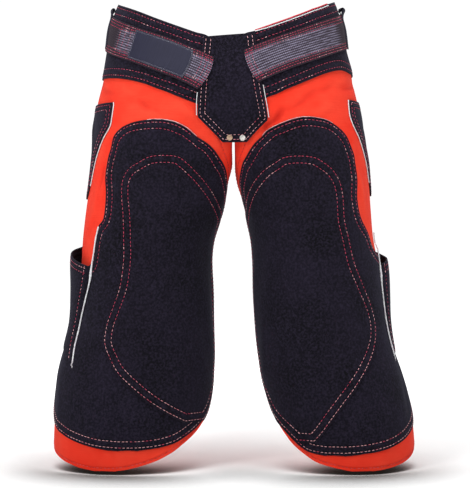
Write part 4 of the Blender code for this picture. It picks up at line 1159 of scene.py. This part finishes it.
class CHAPS_OT_finishes(bpy.types.Operator):
    """Mixes the canvas, suede, webbing, label, thread, piping and rivet finishes"""

    bl_idname = "chaps.finishes"
    bl_label = "Finishes"

    def execute(self, context):
        settings = look()
        groups = {"nap": nap_group(), "seam": seam_group(), "weave": weave_group()}
        for name, shade in (("thigh_suede", 1.0), ("knee_suede", 0.92),
                            ("waist_suede", 1.05), ("pocket_suede", 0.95)):
            suede_finish(name, [shade * c for c in settings.suede_color], groups)
        canvas_finish("leg_canvas", tuple(settings.canvas_color), groups)
        webbing_finish("ribbed_webbing", tuple(settings.webbing_color), tuple(settings.rib_highlight_color), groups)
        label_finish("plain_label", tuple(settings.label_color), groups)
        red, pale = tuple(settings.thread_color), tuple(settings.pale_thread_color)
        thread_finish("red_thread", red, pale, 0.32)
        thread_finish("pale_thread", red, pale, 0.80)
        thread_finish("canvas_thread", (0.36, 0.006, 0.010), (0.55, 0.08, 0.09), 0.2)
        thread_finish("grey_thread", (0.20, 0.20, 0.25), (0.32, 0.32, 0.38), 0.5)
        thread_finish("white_braid", tuple(settings.piping_color), (0.60, 0.55, 0.60), 0.3)
        thread_finish("red_strip", (0.55, 0.010, 0.030), (0.62, 0.05, 0.08), 0.3)
        # painted highlight: the pale pink of the cords along the thigh patches' top edges
        thread_finish("backing", (0.70, 0.42, 0.42), (0.75, 0.62, 0.62), 0.5)
        rivet_finish("brass_dome", (0.50, 0.34, 0.24))
        rivet_finish("nickel_dome", (0.66, 0.63, 0.60))
        return {"FINISHED"}


class CHAPS_OT_legs(bpy.types.Operator):
    """Lays the canvas leg panels, the thigh and knee patches and the hip pockets, with their sewing"""

    bl_idname = "chaps.legs"
    bl_label = "Legs and patches"

    def execute(self, context):
        red = finish_of("red_thread")
        for side in SIDES:
            panel, thigh, knee, pocket = leg_pieces(side)
            under_thigh, under_knee = under(side, THIGH_PATCH[side]), under(side, KNEE_PATCH[side])
            cloth = lay_cloth("leg_panel_" + side + "_cloth", side, panel, finish_of("leg_canvas"))
            sewing = sew(panel, "leg_stitches_" + side, finish_of("canvas_thread"), under_thigh)
            declare(cloth, sewing)
            cloth = lay_cloth("thigh_patch_" + side + "_cloth", side, thigh, finish_of("thigh_suede"))
            sewing = sew(thigh, "thigh_stitches_" + side, red, under_knee)
            declare(cloth, sewing)
            cloth = lay_cloth("knee_patch_" + side + "_cloth", side, knee, finish_of("knee_suede"))
            sewing = sew(knee, "knee_stitches_" + side, red)
            declare(cloth, sewing)
            cloth = lay_cloth("hip_pocket_" + side + "_cloth", side, pocket, finish_of("pocket_suede"))
            sewing = sew(pocket, "hip_pocket_stitches_" + side, red)
            declare(cloth, sewing)
        return {"FINISHED"}


class CHAPS_OT_side_pockets(bpy.types.Operator):
    """Stands the open side pockets off the thighs"""

    bl_idname = "chaps.side_pockets"
    bl_label = "Side pockets"

    def execute(self, context):
        for side in SIDES:
            piece = Piece(pocket_surface(side), strap_grid(48, 52), SUEDE, (0.004, 0.004), roll=0.3)
            share = np.linspace(0.03, 0.97, 60)
            piece.stitch("rim", [np.stack([share, np.full(60, along)], axis=1) for along in (0.055, 0.115)])
            down = np.linspace(0.0, 0.97, 60)
            piece.stitch("front", [np.stack([np.full(60, 0.055), down], axis=1)])
            cloth = lay_cloth("side_pocket_" + side + "_cloth", side, piece, finish_of("pocket_suede"))
            sewing = sew(piece, "side_pocket_stitches_" + side, finish_of("red_thread"))
            declare(cloth, sewing)
        return {"FINISHED"}


class CHAPS_OT_waist(bpy.types.Operator):
    """Cuts the hip bands and the front yoke that join the legs at the waist, with their sewing"""

    bl_idname = "chaps.waist"
    bl_label = "Hip bands and yoke"

    def execute(self, context):
        red = finish_of("red_thread")
        for side in SIDES:
            band = Piece(leg_surface(side, ON_CANVAS), column_grid(HIP_BAND[side], 28, 76), SUEDE, (0.3, 1.0),
                         ridge=0.15)
            band.stitch("outer", band.inset(4.5))
            band.stitch("inner", band.inset(14.0))
            cloth = lay_cloth("hip_band_" + side + "_cloth", side, band, finish_of("waist_suede"))
            declare(cloth, sew(band, "hip_band_stitches_" + side, red))
        yoke = Piece(yoke_surface, yoke_grid(40, 60), YOKE_SUEDE, (0.5, 1.0), ridge=0.2)

        def top_edge(flat):
            return flat[:, 1] > -25.9 + (flat[:, 0] + 42) * 5.5 / 72
        yoke.stitch("outer", yoke.inset(3.7, top_edge))
        yoke.stitch("inner", yoke.inset(10.5, top_edge))
        cloth = lay_cloth("front_yoke_cloth", "left", yoke, finish_of("waist_suede"))
        sewing = sew(yoke, "yoke_stitches", finish_of("pale_thread"))
        declare(cloth, sewing)
        return {"FINISHED"}


class CHAPS_OT_webbing(bpy.types.Operator):
    """Lays the belt tabs, the back belt, the leg straps and the bare label"""

    bl_idname = "chaps.webbing"
    bl_label = "Belt, straps and label"

    def execute(self, context):
        webbing = finish_of("ribbed_webbing")
        for side in SIDES:
            tab = Piece(strap_surface(side, TAB_LINE[side], BELT_WIDTH, tab_lift), strap_grid(105, 110), WEBBING,
                        (0.004, 0.002), roll=0.25, ribs=TAB_RIBS, bare=0.47)
            down = np.linspace(0.012, 0.99, 80)
            tab.stitch("along", [np.stack([np.full(80, share), down], axis=1) for share in TAB_ROWS])
            cross = np.linspace(0.08, 0.92, 20)
            tab.stitch("across", [np.stack([cross, np.full(20, along)], axis=1) for along in TAB_CROSSINGS[side]])
            cloth = lay_cloth("belt_tab_" + side + "_cloth", side, tab, webbing)
            sewing = sew(tab, "tab_stitches_" + side, finish_of("red_thread"), pitch=4.4)
            declare(cloth, sewing)
            keeper = Piece(keeper_surface(side), strap_grid(12, 40), 1.2, (0.01, 0.01), roll=0.1)
            cloth = lay_cloth("webbing_end_" + side, side, keeper, finish_of("waist_suede"))
            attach(cloth, "root")
            line = [Place(angle, LEG_STRAP_Z) for angle in np.linspace(*LEG_STRAP_SPAN, 9)]
            strap = Piece(strap_surface(side, line, LEG_STRAP_WIDTH, lambda t: INSIDE + 0.0 * t),
                          strap_grid(80, 100), WEBBING, (0.004, 0.002), roll=0.25, ribs=11)
            down = np.linspace(0.07, 0.93, 60)
            strap.stitch("along", [np.stack([np.full(60, share), down], axis=1) for share in (0.08, 0.92)])
            cloth = lay_cloth("leg_strap_" + side + "_cloth", side, strap, webbing)
            sewing = sew(strap, "strap_stitches_" + side, finish_of("grey_thread"))
            declare(cloth, sewing)
        belt = Piece(belt_surface, strap_grid(105, 110), WEBBING, (0.004, 0.002), roll=0.25, ribs=TAB_RIBS)
        down = np.linspace(0.06, 0.94, 90)
        belt.stitch("along", [np.stack([np.full(90, share), down], axis=1) for share in (0.06, 0.94)])
        cloth = lay_cloth("belt_back_cloth", "right", belt, webbing)
        sewing = sew(belt, "belt_stitches", finish_of("red_thread"))
        declare(cloth, sewing)
        label = Piece(strap_surface("right", TAB_LINE["right"], LABEL_WIDTH,
                                    lambda t: tab_lift(t) + WEBBING + SEAM_GAP),
                      strap_grid(30, 60, *LABEL_SPAN), LABEL, (0.004, 0.002), roll=0.15)
        label.stitch("border", label.inset(1.8))
        cloth = lay_cloth("label_patch_cloth", "right", label, finish_of("plain_label"))
        sewing = sew(label, "label_stitches", finish_of("grey_thread"), pitch=2.6)
        declare(cloth, sewing)
        return {"FINISHED"}


def route_points(name, route, lift):
    """A trim's route on the form or on the yoke, as points in millimetres."""
    if len(route[0]) == 2:
        places = spline(route, np.linspace(0, 1, 24))
        return yoke_points(places[:, 0], places[:, 1], np.full(24, ON_SUEDE + lift))
    places = spline(route, np.linspace(0, 1, 10 * len(route)))
    return lifted(name.rsplit("_", 1)[1], places[:, 0], places[:, 1], places[:, 2] + lift)


def small_trims():
    """The red strip and the white line on the left band, pale cords as a painted highlight along the patches' top
    edges, and loose thread ends.
    """
    angle = np.linspace(*BAND_TRIM_SPAN, 60)
    table = np.array(HIP_BAND["left"], float)
    top = np.interp(angle, table[:, 0], table[:, 2])
    low = np.clip((angle - BAND_TRIM_SPAN[0]) / 6, 0, 1)
    lift = np.full(60, ON_CANVAS)
    strip = lifted("left", angle, top + 0.7, lift + SUEDE / 2)
    yield "band_strip_left", strip, 1.1, "red_strip", "red_canvas"
    line = lifted("left", angle, top - 0.6 - 1.4 * low, lift + SUEDE + 0.4)
    yield "band_line_left", line, 0.7, "white_braid", "white_piping"
    for side in SIDES:
        z, inner, outer = spline(THIGH_PATCH[side], np.linspace(0, 0.4, 200)).T
        places = np.vstack([np.stack([inner, z], axis=1)[::-1], np.stack([outer, z], axis=1)])
        start, end = RIM_HIGHLIGHT_SPAN[side]
        places = places[(places[:, 0] > start) & (places[:, 0] < end) & (places[:, 1] > -190)]
        lift = np.full(len(places), ON_CANVAS + 0.5)
        edge = lifted(side, places[:, 0], places[:, 1] + 0.7, lift)
        # painted highlight: a pale cord along the patch's top edge, where its rim would catch the light
        yield "backing_edge_" + side, edge, 0.45, "backing", "black_suede"
        foot = PIPING["pocket_piping_" + side][-1]
        for n, (turn, drop) in enumerate(((-1.2, 6.0), (1.6, 4.5), (0.2, 7.5))):
            step = np.linspace(0, 1, 6)
            bend = foot.angle + turn * step + 0.8 * np.sin(3 * step + n)
            points = lifted(side, bend, foot.z - drop * step, np.full(6, ON_SUEDE + 0.5) + 1.2 * step * (1 - step))
            yield f"thread_end_{n}_{side}", points, 0.3, "white_braid", "white_piping"


class CHAPS_OT_trims(bpy.types.Operator):
    """Lays the white piping, the pale cords painted as a highlight along the patches' top edges and the thread
    ends, and sets the rivets
    """

    bl_idname = "chaps.trims"
    bl_label = "Piping and rivets"

    def execute(self, context):
        for routes in (PIPING, YOKE_PIPING):
            for name, route in routes.items():
                radius = PIPING_RADIUS[name.split("_")[0]]
                points = route_points(name, route, radius)
                count = np.arange(len(points))
                sizes = 1.0 + 0.10 * np.sin(count * 1.9) + 0.06 * np.sin(count * 0.7)
                if name.startswith("pocket"):
                    sizes += 0.75 * np.exp(-((points[:, 2] + 364) / 10) ** 2) * (1 + 0.3 * np.sin(count * 2.7))
                item = thread_curve(name + "_cord", [(points, sizes)], radius, finish_of("white_braid"), 3)
                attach(item, "root")
                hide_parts(name)
        for name, points, radius, finish, slot in small_trims():
            item = thread_curve(name, [(points, np.ones(len(points)))], radius, finish_of(finish), 2)
            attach(item, "root")
        for name, spot in RIVETS.items():
            item = rivet_head(name + "_head", *spot, finish_of("brass_dome" if spot[0] < 0 else "nickel_dome"))
            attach(item, "root")
            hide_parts(name)
        return {"FINISHED"}


def rivet_head(name, x, z, material):
    """A domed rivet head, square to the yoke, with a rolled rim."""
    seat = ON_SUEDE + YOKE_SUEDE + RIVET_GAP
    around = yoke_points(np.array([x, x + 1, x - 1, x, x]), np.array([z, z, z, z + 1, z - 1]), np.full(5, seat))
    out = Vector(np.cross(around[1] - around[2], around[3] - around[4])).normalized()
    place = Matrix.Translation(Vector(around[0]) * MM) @ out.to_track_quat("Z", "Y").to_matrix().to_4x4()
    head = bmesh.new()
    bmesh.ops.create_circle(head, segments=40, radius=RIVET_DIAMETER / 2 * MM, cap_ends=True)
    face = head.faces[:]
    for inward, rise in RIVET_STEPS:
        ring = bmesh.ops.inset_region(head, faces=face, thickness=inward * MM, use_even_offset=True)
        for vert in face[0].verts:
            vert.co.z = rise * MM
    bmesh.ops.transform(head, matrix=place, verts=head.verts[:])
    bmesh.ops.recalc_face_normals(head, faces=head.faces[:])
    mesh = bpy.data.meshes.new(name)
    head.to_mesh(mesh)
    head.free()
    mesh.shade_smooth()
    mesh.materials.append(material)
    item = bpy.data.objects.new(name, mesh)
    bpy.context.scene.collection.objects.link(item)
    return item


class CHAPS_OT_stage(bpy.types.Operator):
    """Sets the pale floor with painted contact shadows round the hems, the soft studio lights and the camera"""

    bl_idname = "chaps.stage"
    bl_label = "Stage"

    def execute(self, context):
        scene = context.scene
        floor = bmesh.new()
        bmesh.ops.create_grid(floor, x_segments=1, y_segments=1, size=6)
        bmesh.ops.translate(floor, vec=(0, 0, FLOOR_Z), verts=floor.verts[:])
        mesh = bpy.data.meshes.new("floor")
        floor.to_mesh(mesh)
        floor.free()
        material, nodes, shader = new_finish("pale_floor", 1.0)
        shader.inputs["Specular IOR Level"].default_value = 0.0
        shader.inputs["Emission Color"].default_value = (1, 1, 1, 1)
        place = nodes.add("ShaderNodeTexCoord").outputs["Object"]
        away = nodes.add("ShaderNodeVectorMath", {"operation": "LENGTH"})
        nodes.feed(away.inputs[0], place)
        glow = nodes.span(away.outputs["Value"], 0.69, 1.4)
        nodes.feed(shader.inputs["Emission Strength"], glow)
        # painted contact shadow: the floor's colour darkens towards near black where the hems occlude it
        hem_occlusion = nodes.add("ShaderNodeAmbientOcclusion", {"samples": 12}, Distance=0.145)
        unshadowed_share = nodes.span(hem_occlusion.outputs["AO"], 0.64, 0.97)
        tone = nodes.mix(unshadowed_share, (0.03, 0.04, 0.035, 1), (0.94, 0.94, 0.94, 1))
        nodes.feed(shader.inputs["Base Color"], nodes.mix(glow, tone, (0.5, 0.5, 0.5, 1)))
        mesh.materials.append(material)
        item = bpy.data.objects.new("floor", mesh)
        scene.collection.objects.link(item)
        for name, place, size, power, color in LIGHTS:
            lamp = bpy.data.lights.new(name, "AREA")
            lamp.shape = "RECTANGLE"
            lamp.size, lamp.size_y = size
            lamp.energy = power
            lamp.color = color
            lit = bpy.data.objects.new(name, lamp)
            lit.location = place
            aim = Vector((0, 0, -0.32)) - Vector(place)
            lit.rotation_euler = aim.to_track_quat("-Z", "Y").to_euler()
            scene.collection.objects.link(lit)
        world = bpy.data.worlds.new("white_studio")
        world.use_nodes = True
        seen = Nodes(world.node_tree).add("ShaderNodeLightPath").outputs["Is Camera Ray"]
        background = world.node_tree.nodes["Background"]
        background.inputs["Color"].default_value = (1, 1, 1, 1)
        Nodes(world.node_tree).feed(background.inputs["Strength"], Nodes(world.node_tree).math(
            "ADD", WORLD_STRENGTH, Nodes(world.node_tree).math("MULTIPLY", seen, 1.05 - WORLD_STRENGTH)))
        scene.world = world
        scene.view_settings.view_transform = "Standard"
        camera = bpy.data.cameras.new("photo_view")
        camera.sensor_fit = "VERTICAL"
        camera.angle_y = 2 * math.atan(488 * 1.5 / 2 / 2200)
        eye = bpy.data.objects.new("photo_view", camera)
        eye.location = (0.00525, -2.2, -0.3195)
        eye.rotation_euler = (math.radians(90), 0, 0)
        scene.collection.objects.link(eye)
        scene.camera = eye
        return {"FINISHED"}


FLOOR_Z = -0.652
WORLD_STRENGTH = 0.34
LIGHTS = [
    ("top", (0.0, -0.6, 1.5), (1.3, 0.8), 30, (1.0, 1.0, 1.0)),
    ("key", (-1.5, -2.2, 1.0), (0.9, 0.9), 34, (1.0, 1.0, 1.0)),
    ("fill", (1.6, -2.0, 0.1), (1.4, 1.4), 9, (1.0, 1.0, 1.0)),
    ("back", (0.3, 1.9, 1.1), (2.0, 1.2), 18, (1.0, 1.0, 1.0)),
]

OPERATORS = (CHAPS_OT_finishes, CHAPS_OT_legs, CHAPS_OT_side_pockets, CHAPS_OT_waist, CHAPS_OT_webbing,
             CHAPS_OT_trims, CHAPS_OT_stage)


class CHAPS_PT_panel(bpy.types.Panel):
    """Lists the settings and the steps of the chaps"""

    bl_idname = "CHAPS_PT_panel"
    bl_label = "Farrier Chaps"
    bl_space_type = "VIEW_3D"
    bl_region_type = "UI"
    bl_category = "Chaps"

    def draw(self, context):
        for name in ChapsLook.__annotations__:
            self.layout.prop(context.scene.chaps_look, name)
        for operator in OPERATORS:
            self.layout.operator(operator.bl_idname)


CLASSES = (ChapsLook, *OPERATORS, CHAPS_PT_panel)


def register():
    for kind in CLASSES:
        bpy.utils.register_class(kind)
    bpy.types.Scene.chaps_look = bpy.props.PointerProperty(type=ChapsLook)


def unregister():
    del bpy.types.Scene.chaps_look
    for kind in reversed(CLASSES):
        bpy.utils.unregister_class(kind)


def main():
    register()
    bpy.ops.chaps.finishes()
    bpy.ops.chaps.legs()
    bpy.ops.chaps.side_pockets()
    bpy.ops.chaps.waist()
    bpy.ops.chaps.webbing()
    bpy.ops.chaps.trims()
    bpy.ops.chaps.stage()


if __name__ == "__main__":
    main()
